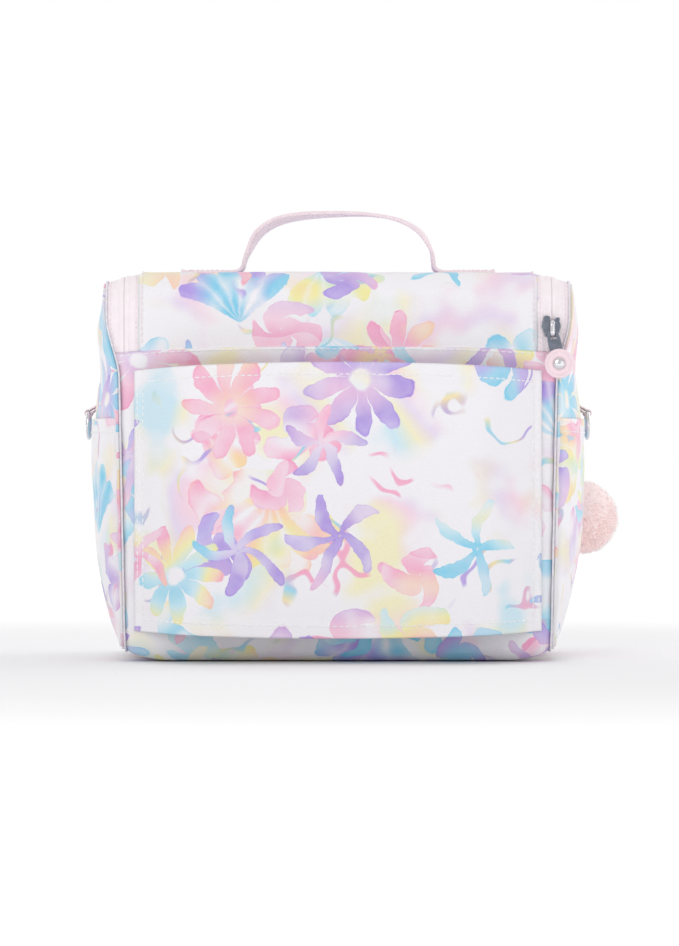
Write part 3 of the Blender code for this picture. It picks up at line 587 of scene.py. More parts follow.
def print_fabric(name, seed, dim=0.0):
    """Coated printed nylon; seed picks where on the roll the panel was cut."""
    material, s, shader = new_material(name, 0.46)
    place = cloth_place(s)
    pattern = s.group(PRINT, Vector=place, Seed=seed)
    grain = s.remap(s.noise(place, 900.0, 2.0), 0.3, 0.7, 0.972, 1.0)
    shade = s.node("ShaderNodeCombineColor")
    for channel in range(3):
        s.feed(shade.inputs[channel], grain)
    s.feed(shader.inputs["Base Color"], s.mix(1.0, pattern.outputs["Color"], shade.outputs[0], blend="MULTIPLY"))
    s.feed(shader.inputs["Roughness"], s.remap(s.noise(place, 60.0, 2.0), 0.3, 0.7, 0.40, 0.54))
    weave = s.group(WEAVE, Vector=place, Pitch=0.0011)
    add_bump(s, shader, weave.outputs["Height"], 0.00004, 0.6)
    shader.inputs["Sheen Weight"].default_value = 0.12
    shader.inputs["Sheen Roughness"].default_value = 0.4
    return material


def plain_cloth(name, code, pitch=0.0010, roughness=0.6, contrast=0.05, depth=0.00006):
    """Plain dyed cloth or webbing with a weave, painted shade between its threads and slightly uneven dye."""
    material, s, shader = new_material(name, roughness)
    place = cloth_place(s)
    dye = s.remap(s.noise(place, 180.0, 3.0), 0.25, 0.75, 1.0 - contrast, 1.0)
    weave = s.group(WEAVE, Vector=place, Pitch=pitch)
    # painted shade: the base colour is darkened where the weave is low, between the threads
    thread = s.remap(weave.outputs["Height"], 0.0, 0.6, 1.0 - contrast, 1.0)
    level = s.calc("MULTIPLY", dye, thread)
    shade = s.node("ShaderNodeCombineColor")
    for channel in range(3):
        s.feed(shade.inputs[channel], level)
    s.feed(shader.inputs["Base Color"], s.mix(1.0, srgb(code), shade.outputs[0], blend="MULTIPLY"))
    add_bump(s, shader, weave.outputs["Height"], depth, 0.7)
    shader.inputs["Sheen Weight"].default_value = 0.15
    return material


def solid_look(name, code, roughness, metallic=0.0, spread_of=0.06, scale=120.0, dents=0.0):
    """Plastic, rubber or metal with slight wear in its sheen and colour."""
    material, s, shader = new_material(name, roughness, metallic)
    place = s.node("ShaderNodeTexCoord").outputs["Object"]
    worn = s.noise(place, scale, 3.0)
    level = s.remap(worn, 0.3, 0.7, 1.0 - spread_of, 1.0)
    shade = s.node("ShaderNodeCombineColor")
    for channel in range(3):
        s.feed(shade.inputs[channel], level)
    s.feed(shader.inputs["Base Color"], s.mix(1.0, srgb(code), shade.outputs[0], blend="MULTIPLY"))
    s.feed(shader.inputs["Roughness"], s.remap(worn, 0.3, 0.7, roughness * 0.8, roughness * 1.25))
    if dents:
        add_bump(s, shader, worn, dents, 0.5)
    return material


LOOK_BACK = print_fabric("print_back", 0.0)
LOOK_SLEEVE = print_fabric("print_sleeve", 4.3)
LOOK_LID = print_fabric("print_lid", 8.9)
LOOK_SIDE = print_fabric("print_side", 13.7)
LOOK_POCKET = print_fabric("print_pocket", 19.1)
LOOK_LINING = plain_cloth("lining_cloth", "F0C9D6", 0.0012, 0.55)
LOOK_TAPE = plain_cloth("zip_tape_weave", "FFF5F9", 0.0007, 0.7, 0.04)
LOOK_WEBBING = plain_cloth("webbing_weave", "FCEAF0", 0.0022, 0.7, 0.07, 0.00016)
LOOK_THREAD = solid_look("stitch_thread", "FFFFFF", 0.6, spread_of=0.08, scale=900.0)
LOOK_PINK_THREAD = solid_look("pink_thread", "FDEDF2", 0.6, spread_of=0.08, scale=900.0)
LOOK_COIL = solid_look("zip_coil_nylon", "FCE6EE", 0.38, spread_of=0.05, scale=500.0)
LOOK_SEAM = solid_look("seam_binding", "F0ECF3", 0.7, spread_of=0.15, scale=400.0)
LOOK_GREY = solid_look("gunmetal", "858B98", 0.22, 1.0, 0.06, 300.0)
LOOK_SILVER = solid_look("bright_nickel", "E4E4E8", 0.14, 1.0, 0.06, 260.0)
LOOK_RUBBER = solid_look("pull_rubber", "FCE4EB", 0.42, spread_of=0.05, scale=200.0, dents=0.00004)
LOOK_BOARD = solid_look("board_sheet", "D8D8D8", 0.6)
LOOK_FUR = solid_look("pompom_fibre", "FEEBEA", 0.9, spread_of=0.04, scale=120.0)
FUR_SHADER = LOOK_FUR.node_tree.nodes["Principled BSDF"]
FUR_SHADER.inputs["Sheen Weight"].default_value = 0.3
# painted glow: a faint pink emission brightens the pompom where the bag shades it, standing in for light passing
# through and between the fibres
FUR_SHADER.inputs["Emission Color"].default_value = srgb("FFDCD8")
FUR_SHADER.inputs["Emission Strength"].default_value = 0.16
FUR_SHADER.inputs["Sheen Roughness"].default_value = 0.5
FUR_SHADER.inputs["Subsurface Weight"].default_value = 0.5
FUR_SHADER.inputs["Subsurface Scale"].default_value = 0.004
FUR_SHADER.inputs["Subsurface Radius"].default_value = (1.0, 0.7, 0.7)


# ---------- body: back, base and front in one run of cloth ----------
ACROSS = 76
EDGE_PUCKER = 0.00035


def pucker(along, edge_distance, seed):
    """Gathers that fade within a centimetre of a sewn edge."""
    fade = math.exp(-max(edge_distance, 0.0) / 0.006)
    beat = math.sin(along / 0.0042 + 2.4 * ripple(along, seed, 0.03, seed))
    return EDGE_PUCKER * fade * beat


def zip_edge_front(x):
    """Distance round the band of the front panel's top edge."""
    corner_x = ZIP_X - ZIP_CORNER
    radius = ZIP_CORNER + TAPE_HALF - 0.0016
    level = ZIP_FRONT_Z + ZIP_CORNER
    reach = max(abs(x) - corner_x, 0.0)
    return front_at(level - math.sqrt(max(radius * radius - min(reach, radius) ** 2, 0.0)))


def shell_point(share, distance, lift, seed):
    """Point of the sewn band with its wrinkles and puckers; share runs -1..1 between the seams."""
    half = seam_half(loop(distance)[1]) - 0.0003
    x = half * share
    z = loop(distance)[1]
    edge = half - abs(x)
    settle = ease(z / 0.012) if distance > LOOP_END - BASE_HALF or distance < BASE_HALF else 1.0
    lift += (wrinkle(x, distance, seed) + pucker(distance, edge, seed)) * settle
    lift -= 0.0006 * ease((0.0010 - edge) / 0.0010)
    return band_point(x, distance, lift), (x, distance)


def hem_lift(distance_to_edge, depth=0.0065, height=0.0005):
    """Extra thickness of a folded hem, counted from its edge."""
    return height * (1.0 - ease((distance_to_edge - depth) / 0.0012))


def hem_droop(share):
    """The folded top edge of the back sags a little towards the seams."""
    return 0.0036 * abs(share) ** 3


def build_body_shell():
    seed = 3.0
    rows = []
    maps = []
    shares = spread(1.0, -1.0, ACROSS)
    lower_front = front_at(0.132)
    for step in spread(0.0, 1.0, 14):
        row = []
        places = []
        for share in shares:
            top = zip_edge_front(share * 0.1175)
            distance = top + (lower_front - top) * step
            past = distance - top
            lift = hem_lift(past, 0.0030, 0.0004) - 0.0010 * ease((0.0008 - past) / 0.0008)
            point, place = shell_point(share, distance, lift, seed)
            row.append(point)
            places.append(place)
        rows.append(row)
        maps.append(places)
    end = LOOP_END + back_at(LID_SEAM_Z - 0.0004)
    count = int((end - lower_front) / 0.0028)
    stops = spread(lower_front, end - 0.0012, count)[1:] + [end - 0.0007, end - 0.0003, end]
    for level in stops:
        row = []
        places = []
        for share in shares:
            distance = level - hem_droop(share) * ease((level - end + 0.060) / 0.060)
            to_edge = end - level
            lift = hem_lift(to_edge, 0.0048, 0.0010) - 0.0011 * ease((0.0006 - to_edge) / 0.0006)
            point, place = shell_point(share, distance, lift, seed)
            row.append(point)
            places.append(place)
        rows.append(row)
        maps.append(places)
    piece = grid_mesh("body_shell", rows, LOOK_BACK, maps, thickness=0.0007)
    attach(piece, "bag")
    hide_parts("back_panel", "base_panel", "front_panel")
    return piece


# ---------- gussets ----------
def gusset_point(side, y, z, seed, extra=0.0):
    half = side_limit(min(max(z, EDGE_DROP), HEIGHT - EDGE_DROP))
    edge = min(half - abs(y), z - EDGE_DROP, HEIGHT - EDGE_DROP - z)
    along = z if half - abs(y) < min(z, HEIGHT - z) else y
    slack = wrinkle(y, z, seed, 1.7) * ease(edge / 0.012) + pucker(along, edge, seed)
    return Vector((side * (gusset_x(y, z) + slack + extra), y, z))


def build_gusset(name, side):
    seed = 21.0 + side
    centre = Vector((0.0, HEIGHT / 2.0))
    edge = []
    for distance in spread(0.0, LOOP_END, 180)[:-1]:
        y, z, ny, nz = loop(distance)
        edge.append((Vector((y - ny * EDGE_DROP, z - nz * EDGE_DROP)), Vector((ny, nz))))
    rows = []
    maps = []
    scales = [1.0, 0.992, 0.975, 0.95, 0.92, 0.885] + spread(0.85, 0.03, 20)
    for number, scale in enumerate(scales):
        row = []
        places = []
        for point, out in edge:
            flat = centre + (point - centre) * scale
            place = gusset_point(side, flat.x, flat.y, seed)
            if number == 0:
                place.x = side * (seam_half(flat.y) + 0.0003)
                place -= Vector((0.0, out.x, out.y)) * 0.0012
            row.append(place)
            places.append((flat.x * side, flat.y))
        if side < 0.0:
            row.reverse()
            places.reverse()
        rows.append(row)
        maps.append(places)
    piece = grid_mesh(name, rows, LOOK_SIDE, maps, thickness=0.0007, closed=True)
    close_hole(piece, side)
    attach(piece, "bag")
    return piece


def close_hole(piece, side):
    """Closes the small opening in the middle of a ringed panel."""
    form = bmesh.new()
    form.from_mesh(piece.data)
    rim = [edge for edge in form.edges if edge.is_boundary and abs(edge.verts[0].co.y) < 0.01]
    bmesh.ops.holes_fill(form, edges=rim, sides=0)
    bmesh.ops.recalc_face_normals(form, faces=form.faces)
    if sum(face.normal.x for face in form.faces) * side < 0.0:
        bmesh.ops.reverse_faces(form, faces=form.faces)
    for face in form.faces:
        face.smooth = True
    form.to_mesh(piece.data)
    form.free()


# ---------- side slip pockets ----------
# cut sizes of the cloths, across and along, in metres
LINING_BAND_FLAT = (0.229, 0.446)
LINING_SIDE_FLAT = (0.137, 0.192)


def pocket_lift(share, z):
    """How far the pocket stands off the gusset."""
    mouth = ease((z - 0.085) / (POCKET_TOP_Z - 0.085)) * (1.0 - share * share)
    return 0.0010 + 0.0007 * mouth + hem_lift(POCKET_TOP_Z - z, 0.0085, 0.0003)


def build_pocket(name, side, backing):
    seed = 21.0 + side
    rows = []
    maps = []
    levels = [POCKET_TOP_Z, POCKET_TOP_Z - 0.0006] + spread(POCKET_TOP_Z - 0.0015, 0.0075, 44)
    for z in levels:
        reach = side_limit(z) - 0.0012
        row = []
        places = []
        for share in spread(-1.0, 1.0, 48):
            y = reach * share * side
            lift = pocket_lift(share, z)
            if z > POCKET_TOP_Z - 0.0004:
                lift -= 0.0004
            lift -= 0.0008 * ease((abs(share) - 0.97) / 0.03)
            row.append(gusset_point(side, y, z, seed, lift))
            places.append((y * side, z))
        rows.append(row)
        maps.append(places)
    piece = grid_mesh(name, rows, LOOK_POCKET, maps, thickness=0.0006)
    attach(piece, "bag")
    points = []
    outs = []
    level = POCKET_TOP_Z - 0.0072
    for share in spread(-0.985, 0.985, 60):
        y = (side_limit(level) - 0.0012) * share
        points.append(gusset_point(side, y, level, seed, pocket_lift(share, level)))
        outs.append(Vector((side, 0.0, 0.0)))
    thread = add_mesh(name + "_stitches", *stitch_run(points, outs), LOOK_THREAD)
    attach(thread, "bag")
    return piece


# ---------- lid ----------
def lid_half_width(distance, shrink):
    """Half width of the lid cloth: parallel, with rounded corners at its front end."""
    half = ZIP_X - TAPE_HALF + 0.0012 - shrink
    corner = ZIP_CORNER - TAPE_HALF + 0.0012
    end = front_at(ZIP_FRONT_Z + TAPE_HALF - 0.0012 + shrink)
    past = max(0.0, distance - (end - corner))
    return half - corner + math.sqrt(max(corner * corner - past * past, 0.0)), end


def build_lid_shell(name, base_lift, shrink, start, look, seed, thickness, across=64):
    """One run of cloth from the lid seam on the back, over the top and down the front."""
    end = lid_half_width(0.0, shrink)[1]
    rows = []
    maps = []
    stops = spread(start, end - 0.0075, 110) + [end - 0.0075 * (1.0 - math.sin(a * math.pi / 18.0)) for a in range(1, 10)]
    for distance in stops:
        half = lid_half_width(distance, shrink)[0]
        row = []
        places = []
        for share in spread(1.0, -1.0, across):
            x = half * share
            edge = min(half - abs(x), end - distance)
            lift = base_lift + wrinkle(x, distance, seed) * ease(edge / 0.004 + 0.2)
            lift += pucker(distance if half - abs(x) < end - distance else x, edge, seed) * 0.7
            lift += 0.0003 * (1.0 - ease((edge - 0.0030) / 0.0010)) - 0.0010 * ease((0.0007 - edge) / 0.0007)
            row.append(band_point(x, distance, lift))
            places.append((x, distance))
        rows.append(row)
        maps.append(places)
    piece = grid_mesh(name, rows, look, maps, thickness=thickness)
    return bend_with_lid(piece)


def bend_with_lid(piece):
    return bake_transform(piece)


def build_lid():
    shell = build_lid_shell("lid_shell", 0.0002, 0.0, back_at(LID_SEAM_Z - 0.005), LOOK_LID, 5.0, 0.0007)
    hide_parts("lid_panel", "hinge_strip")
    lining = build_lid_shell("lid_lining_cloth", -0.0026, 0.0016, back_at(LID_SEAM_Z - 0.004), LOOK_LINING, 15.0,
                             0.0005, across=40)
    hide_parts("lid_lining")
    # top-stitching along the lid's edge next to the zip
    seed = 5.0
    points = []
    outs = []
    inset = 0.0022
    corner = ZIP_CORNER - TAPE_HALF + 0.0012
    end = lid_half_width(0.0, 0.0)[1]
    half = ZIP_X - TAPE_HALF + 0.0012
    path = [(half - inset, d) for d in spread(back_at(LID_SEAM_Z + 0.001), end - corner, 130)]
    path += [(half - corner + (corner - inset) * math.cos(a), end - corner + (corner - inset) * math.sin(a))
             for a in spread(0.0, math.pi / 2.0, 8)[1:]]
    path += [(x, end - inset) for x in spread(half - corner, 0.0, 40)[1:]]
    path += [(-x, d) for x, d in reversed(path[:-1])]
    for x, distance in path:
        ny, nz = loop(distance)[2:]
        points.append(band_point(x, distance, 0.0007 + wrinkle(x, distance, seed)))
        outs.append(Vector((0.0, ny, nz)))
    thread = add_mesh("lid_edge_stitches", *stitch_run(points, outs, 0.0032, 0.00024), LOOK_PINK_THREAD)
    bend_with_lid(thread)


# ---------- zip ----------
def zip_path(step=0.0028):
    """(x, distance, out_x, out_d) along the zip's centre line; out points to the body side."""
    corner_x = ZIP_X - ZIP_CORNER
    corner_d = front_at(ZIP_FRONT_Z + ZIP_CORNER)
    start = back_at(LID_SEAM_Z - 0.005)
    half = [(ZIP_X, d, 1.0, 0.0) for d in spread(start, corner_d, int((corner_d - start) / step))]
    for angle in spread(0.0, math.pi / 2.0, 12)[1:]:
        half.append((corner_x + ZIP_CORNER * math.cos(angle), corner_d + ZIP_CORNER * math.sin(angle),
                     math.cos(angle), math.sin(angle)))
    half += [(x, corner_d + ZIP_CORNER, 0.0, 1.0) for x in spread(corner_x, 0.0, int(corner_x / step))[1:]]
    return half + [(-x, d, -ox, od) for x, d, ox, od in reversed(half[:-1])]


ZIP_ROWS = zip_path()
TAPE_LIFT = -0.0007
COIL_HALF = 0.0028


def tape_profile(offset):
    """Height of the reverse-coil tape: flat at its edges, a low ridge over each half of the coil."""
    reach = abs(offset)
    lift = TAPE_LIFT
    if reach < COIL_HALF:
        lift += 0.00055 * (1.0 - ((reach - COIL_HALF / 2.0) / (COIL_HALF / 2.0)) ** 4)
    lift += 0.00025 * bump(reach, 0.0052, 0.0006)
    return lift


def zip_point(row, offset, lift):
    x, distance, out_x, out_d = row
    pd = distance + out_d * offset
    limit = seam_half(loop(pd)[1]) - 0.0002
    px = max(-limit, min(limit, x + out_x * offset))
    return band_point(px, pd, lift), (px, pd)


def build_tape(name, offsets, look, blended):
    rows = []
    maps = []
    for row in ZIP_ROWS:
        line = []
        places = []
        for offset in offsets:
            reach = abs(offset)
            lift = tape_profile(offset) if reach > 0.00009 else TAPE_LIFT
            point, place = zip_point(row, offset, lift)
            line.append(point)
            places.append(place)
        rows.append(line)
        maps.append(places)
    piece = grid_mesh(name, rows, look, maps, thickness=0.0004)
    if blended:
        bend_with_lid(piece)
    else:
        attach(piece, "bag")
    return piece


def build_zip():
    reaches = [0.00002, 0.00012, 0.0005, 0.0010, 0.00145, 0.0019, 0.0023, 0.0026, 0.0029, 0.0040, 0.0047, 0.0052,
               0.0057, 0.0070, 0.0086]
    outer = reaches + [0.0105]
    body_side = build_tape("zip_tape_outer", list(reversed(outer)), LOOK_TAPE, False)
    lid_side = build_tape("zip_tape_inner", [-reach for reach in reaches], LOOK_TAPE, True)
    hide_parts("zip_tape_body")
    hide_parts("zip_tape_lid")
    coils = {}
    for name, sign, node in (("zip_coil_outer", 1.0, "zip_teeth_body"), ("zip_coil_inner", -1.0, "zip_teeth_lid")):
        # the coil shows only as fine cross lines in the slot between the two ridges
        verts = []
        faces = []
        rows = zip_path(0.0014)
        for number, row in enumerate(rows[:-1]):
            first = zip_point(row, sign * 0.0020, TAPE_LIFT - 0.0012)[0]
            middle = zip_point(row, sign * 0.0008, TAPE_LIFT - 0.0006)[0]
            last = zip_point(row, sign * 0.00030, TAPE_LIFT - 0.0007)[0]
            more = tube_mesh([first, middle, last], 0.00033, sides=5)
            base = len(verts)
            verts += more[0]
            faces += [tuple(index + base for index in face) for face in more[1]]
        coils[name] = add_mesh(name, verts, faces, LOOK_COIL)
        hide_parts(node)
    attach(coils["zip_coil_outer"], "bag")
    bend_with_lid(coils["zip_coil_inner"])
    for name, offset, blended in (("tape_stitches_outer", 0.0071, False), ("tape_stitches_inner", -0.0064, True)):
        points = []
        outs = []
        for row in ZIP_ROWS:
            limit = seam_half(loop(row[1])[1]) - 0.0018 - ZIP_X
            shift = min(offset, limit) if offset > 0.0 and row[2] > 0.5 or offset > 0.0 and row[2] < -0.5 else offset
            points.append(zip_point(row, shift, TAPE_LIFT + 0.0001)[0])
            ny, nz = loop(row[1])[2:]
            outs.append(Vector((0.0, ny, nz)))
        thread = add_mesh(name, *stitch_run(points, outs, 0.0026, 0.00022), LOOK_PINK_THREAD)
        if blended:
            bend_with_lid(thread)
        else:
            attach(thread, "bag")


# ---------- seams ----------
def build_seam(name, side):
    """Fine dark welt sunk between the band and the gusset."""
    points = []
    for distance in spread(0.0, LOOP_END, 300)[:-1]:
        y, z, ny, nz = loop(distance)
        lift = 0.0002 - EDGE_DROP
        points.append(Vector((side * (seam_half(z) + 0.0001), y + ny * lift, z + nz * lift)))
    piece = add_mesh(name, *tube_mesh(points, 0.0006, sides=6, closed=True), LOOK_SEAM)
    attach(piece, "bag")
    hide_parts("seam_piping_" + ("right" if side > 0.0 else "left"))


# ---------- lining ----------
def build_lining():
    """Inside of the compartment: a run of cloth behind the band and one behind each gusset."""
    pieces = []
    start = front_at(0.150)
    end = LOOP_END + back_at(LID_SEAM_Z + 0.010)
    rows = []
    maps = []
    for distance in spread(start, end, 120):
        half = seam_half(loop(distance)[1]) - 0.0012
        rows.append([band_point(half * share, distance, -0.0030 + 0.5 * wrinkle(share, distance, 31.0))
                     for share in spread(1.0, -1.0, 30)])
        maps.append([(half * share, distance) for share in spread(1.0, -1.0, 30)])
    band = grid_mesh("lining_band", rows, LOOK_LINING, maps, thickness=0.0005)
    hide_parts("body_lining")
    pieces.append(band)
    for name, side in (("lining_left", -1.0), ("lining_right", 1.0)):
        rows = []
        maps = []
        centre = Vector((0.0, HEIGHT / 2.0))
        edge = []
        for distance in spread(0.0, LOOP_END, 90)[:-1]:
            y, z, ny, nz = loop(distance)
            edge.append(Vector((y - ny * 0.0078, z - nz * 0.0078)))
        for scale in [1.0, 0.96] + spread(0.9, 0.05, 12):
            row = []
            for point in edge:
                flat = centre + (point - centre) * scale
                row.append(Vector((side * (gusset_x(flat.x, flat.y) - 0.0024), flat.x, flat.y)))
            if side < 0.0:
                row.reverse()
            rows.append(row)
            maps.append([(point.y, point.z) for point in row])
        cloth = grid_mesh(name, rows, LOOK_LINING, maps, thickness=0.0005, closed=True)
        close_hole(cloth, side)
        pieces.append(cloth)
    for piece, size, held_by in zip(pieces, (LINING_BAND_FLAT, LINING_SIDE_FLAT, LINING_SIDE_FLAT), [body_shell] + gussets):
        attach(piece, "bag")


# ---------- trolley sleeve ----------
def sleeve_stand(x, z):
    """How far in front of the body's flat back the sleeve stands."""
    reach = abs(x)
    flat = EDGE_DROP * max(0.0, (reach / seam_half(z) - 0.8) / 0.2) ** 2
    base = 0.0014 - flat
    if reach >= SLEEVE_FLAT:
        return base
    rise = (SLEEVE_FLAT - reach) / (SLEEVE_FLAT - SLEEVE_TUBE_X)
    if rise < 1.0:
        swell = math.sin(rise * math.pi / 2.0) ** 1.2
        return base + (SLEEVE_PROUD - base) * swell
    slack = 0.0026 * math.sin(math.pi * min((SLEEVE_TUBE_X - reach) / (SLEEVE_TUBE_X - 0.010), 1.0) / 2.0) ** 2
    return SLEEVE_PROUD + 0.0003 - slack


def sleeve_edges(x):
    middle = 1.0 - (x / SLEEVE_HALF) ** 2
    top = SLEEVE_TOP_SIDE + (SLEEVE_TOP_MID - SLEEVE_TOP_SIDE) * middle
    low = SLEEVE_LOW_SIDE + (SLEEVE_LOW_MID - SLEEVE_LOW_SIDE) * middle
    return top, low


def sleeve_point(x, z, extra=0.0):
    seed = 41.0
    top, low = sleeve_edges(x)
    reach = abs(x)
    rim = min(top - z, z - low)
    soft = wrinkle(x, z, seed, 1.5) * ease((SLEEVE_HALF - reach) / 0.02)
    # slack folds fan out from the side seams beyond the tubes
    tension = bump(reach, 0.090, 0.017)
    fold = 0.0011 * tension * math.sin(z / 0.0125 + 3.0 * ripple(x, z, 0.05, 2.0) + (2.0 if x > 0 else 0.0))
    soft += fold * ease(rim / 0.02)
    soft += pucker(z, SLEEVE_HALF - reach, seed) + pucker(x, rim + 0.004, seed + 3.0) * 0.8
    return Vector((x, -(HALF_DEPTH + sleeve_stand(x, z) + soft + extra), z))


def build_sleeve():
    xs = spread(SLEEVE_HALF, SLEEVE_FLAT - 0.001, 3) + spread(SLEEVE_FLAT - 0.001, 0.070, 22)[1:] + spread(0.070, 0.0, 26)[1:]
    xs = xs + [-x for x in reversed(xs[:-1])]
    rows = []
    maps = []
    shares = [0.0, 0.004] + spread(0.010, 0.990, 72) + [0.996, 1.0]
    for share in shares:
        row = []
        places = []
        along = 0.0
        for number, x in enumerate(xs):
            top, low = sleeve_edges(x)
            z = low + (top - low) * share
            edge = min(z - low, top - z)
            lift = hem_lift(edge, 0.0072, 0.0007) - 0.0007 * ease((0.0007 - edge) / 0.0007)
            lift += 0.0005 * (1.0 - ease((SLEEVE_HALF - abs(x) - 0.0030) / 0.001))
            point = sleeve_point(x, z, lift)
            if number:
                along += (point - row[-1]).length
            row.append(point)
            places.append((-along, z))
        rows.append(row)
        maps.append(places)
    piece = grid_mesh("sleeve_cloth", rows, LOOK_SLEEVE, maps, thickness=0.0009)
    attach(piece, "bag")
    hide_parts("trolley_sleeve")
    runs = []
    for at_top in (True, False):
        points = []
        outs = []
        for x in spread(SLEEVE_HALF - 0.004, -SLEEVE_HALF + 0.004, 150):
            top, low = sleeve_edges(x)
            z = top - 0.0064 if at_top else low + 0.0064
            points.append(sleeve_point(x, z, 0.0007))
            outs.append(Vector((0.0, -1.0, 0.0)))
        runs.append(stitch_run(points, outs))
    for side in (-1.0, 1.0):
        for inset in (0.0016, 0.0046):
            x = side * (SLEEVE_HALF - inset)
            top, low = sleeve_edges(x)
            points = [sleeve_point(x, z, 0.0005 if inset < 0.003 else 0.0001) for z in spread(low + 0.001, top - 0.001, 90)]
            runs.append(stitch_run(points, [Vector((0.0, -1.0, 0.0))] * len(points)))
    thread = add_mesh("sleeve_stitches", *merge("", runs), LOOK_THREAD)
    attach(thread, "bag")
    return piece


def build_hem_stitches():
    """Top-stitching just under the folded top edge of the back panel."""
    points = []
    outs = []
    level = LID_SEAM_Z - 0.0020
    for share in spread(0.985, -0.985, 170):
        point, place = shell_point(share, LOOP_END + back_at(level) - hem_droop(share), 0.0010, 3.0)
        points.append(point)
        outs.append(Vector((0.0, -1.0, 0.0)))
    thread = add_mesh("back_hem_stitches", *stitch_run(points, outs), LOOK_THREAD)
    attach(thread, "bag")


# ---------- handle ----------
STRAP_HALF = 0.0125
STRAP_THICK = 0.0020
LID_TOP = HEIGHT + TOP_CROWN
HANDLE_PATH = [(-0.0846, 0.2084), (-0.0825, 0.2077), (-0.0780, 0.2073), (-0.0680, 0.2074), (-0.0590, 0.2076),
               (-0.0545, 0.2081), (-0.0517, 0.2104), (-0.0505, 0.2145), (-0.0480, 0.2205), (-0.0432, 0.2288),
               (-0.0340, 0.2352), (-0.0200, 0.2385), (0.0000, 0.2396), (0.0180, 0.2392), (0.0335, 0.2362),
               (0.0445, 0.2298), (0.0503, 0.2205), (0.0516, 0.2145), (0.0522, 0.2104), (0.0550, 0.2081),
               (0.0595, 0.2076), (0.0680, 0.2074), (0.0780, 0.2073), (0.0825, 0.2077), (0.0846, 0.2084)]


def smooth_path(points, steps):
    """Catmull-Rom curve through 2D points."""
    result = []
    for i in range(len(points) - 1):
        p0 = Vector(points[max(i - 1, 0)])
        p1 = Vector(points[i])
        p2 = Vector(points[i + 1])
        p3 = Vector(points[min(i + 2, len(points) - 1)])
        for k in range(steps):
            t = k / steps
            result.append(0.5 * ((2 * p1) + (p2 - p0) * t + (2 * p0 - 5 * p1 + 4 * p2 - p3) * t * t
                                 + (3 * p1 - p0 - 3 * p2 + p3) * t ** 3))
    result.append(Vector(points[-1]))
    return result


def ribbon(name, path, half, thick, look, place):
    """Webbing along a 2D path; place(along, out, y) puts a point of it into the row frame."""
    section = []
    for y in spread(-half + thick * 0.3, half - thick * 0.3, 12):
        section.append((y, thick / 2.0))
    section += [(half - thick * 0.08, thick * 0.32), (half, 0.0), (half - thick * 0.08, -thick * 0.32)]
    for y in spread(half - thick * 0.3, -half + thick * 0.3, 12):
        section.append((y, -thick / 2.0))
    section += [(-half + thick * 0.08, -thick * 0.32), (-half, 0.0), (-half + thick * 0.08, thick * 0.32)]
    verts = []
    maps = []
    faces = []
    run = 0.0
    count = len(section)
    for i, point in enumerate(path):
        before = path[max(i - 1, 0)]
        after = path[min(i + 1, len(path) - 1)]
        along = (after - before).normalized()
        out = Vector((-along.y, along.x))
        if i:
            run += (point - path[i - 1]).length
        for y, rise in section:
            verts.append(place(point + out * rise, y, run))
            maps.append((run, y + rise))
        if i:
            base = (i - 1) * count
            for j in range(count):
                k = (j + 1) % count
                faces.append((base + j, base + k, base + count + k, base + count + j))
    faces.append(tuple(reversed(range(count))))
    faces.append(tuple((len(path) - 1) * count + j for j in range(count)))
    piece = add_mesh(name, verts, faces, look, maps)
    form = bmesh.new()
    form.from_mesh(piece.data)
    bmesh.ops.recalc_face_normals(form, faces=form.faces)
    form.to_mesh(piece.data)
    form.free()
    return piece


def build_handle():
    path = smooth_path(HANDLE_PATH, 6)

    def place(point, y, run):
        # the standing loop leans and twists a little, as webbing does
        free = ease((point.y - 0.2130) / 0.015)
        twist = free * (0.0010 * math.sin(point.x / 0.035) * y / STRAP_HALF)
        return Vector((point.x + 0.0008 * free * y / STRAP_HALF, y, point.y + twist))

    strap = ribbon("handle_webbing", path, STRAP_HALF, STRAP_THICK, LOOK_WEBBING, place)
    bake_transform(strap)
    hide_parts("handle_strap", "handle_tail_left", "handle_tail_right")
    runs = []
    for side in (-1.0, 1.0):
        corners = [(0.0805, -0.0100), (0.0805, 0.0100), (0.0605, 0.0100), (0.0605, -0.0100), (0.0805, -0.0100),
                   (0.0605, 0.0100)]
        points = []
        for (ax, ay), (bx, by) in zip(corners, corners[1:]):
            for share in spread(0.0, 1.0, 8):
                points.append(Vector((side * (ax + (bx - ax) * share), ay + (by - ay) * share, 0.20862)))
        runs.append(stitch_run(points, [Vector((0.0, 0.0, 1.0))] * len(points), 0.0026, 0.00026))
    thread = add_mesh("handle_stitches", *merge("", runs), LOOK_PINK_THREAD)
    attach(thread, "lid")


# ---------- slider and puller ----------
SLIDER_Z = 0.1755
PLATE_IN = -0.0741
PLATE_OUT = -0.0753
PIVOT = Vector((ZIP_X, -0.076717, 0.1728))
PULLER_TILT = math.radians(12.0)
DISC_DROP = 0.0168
BRIDGE = 0.0016


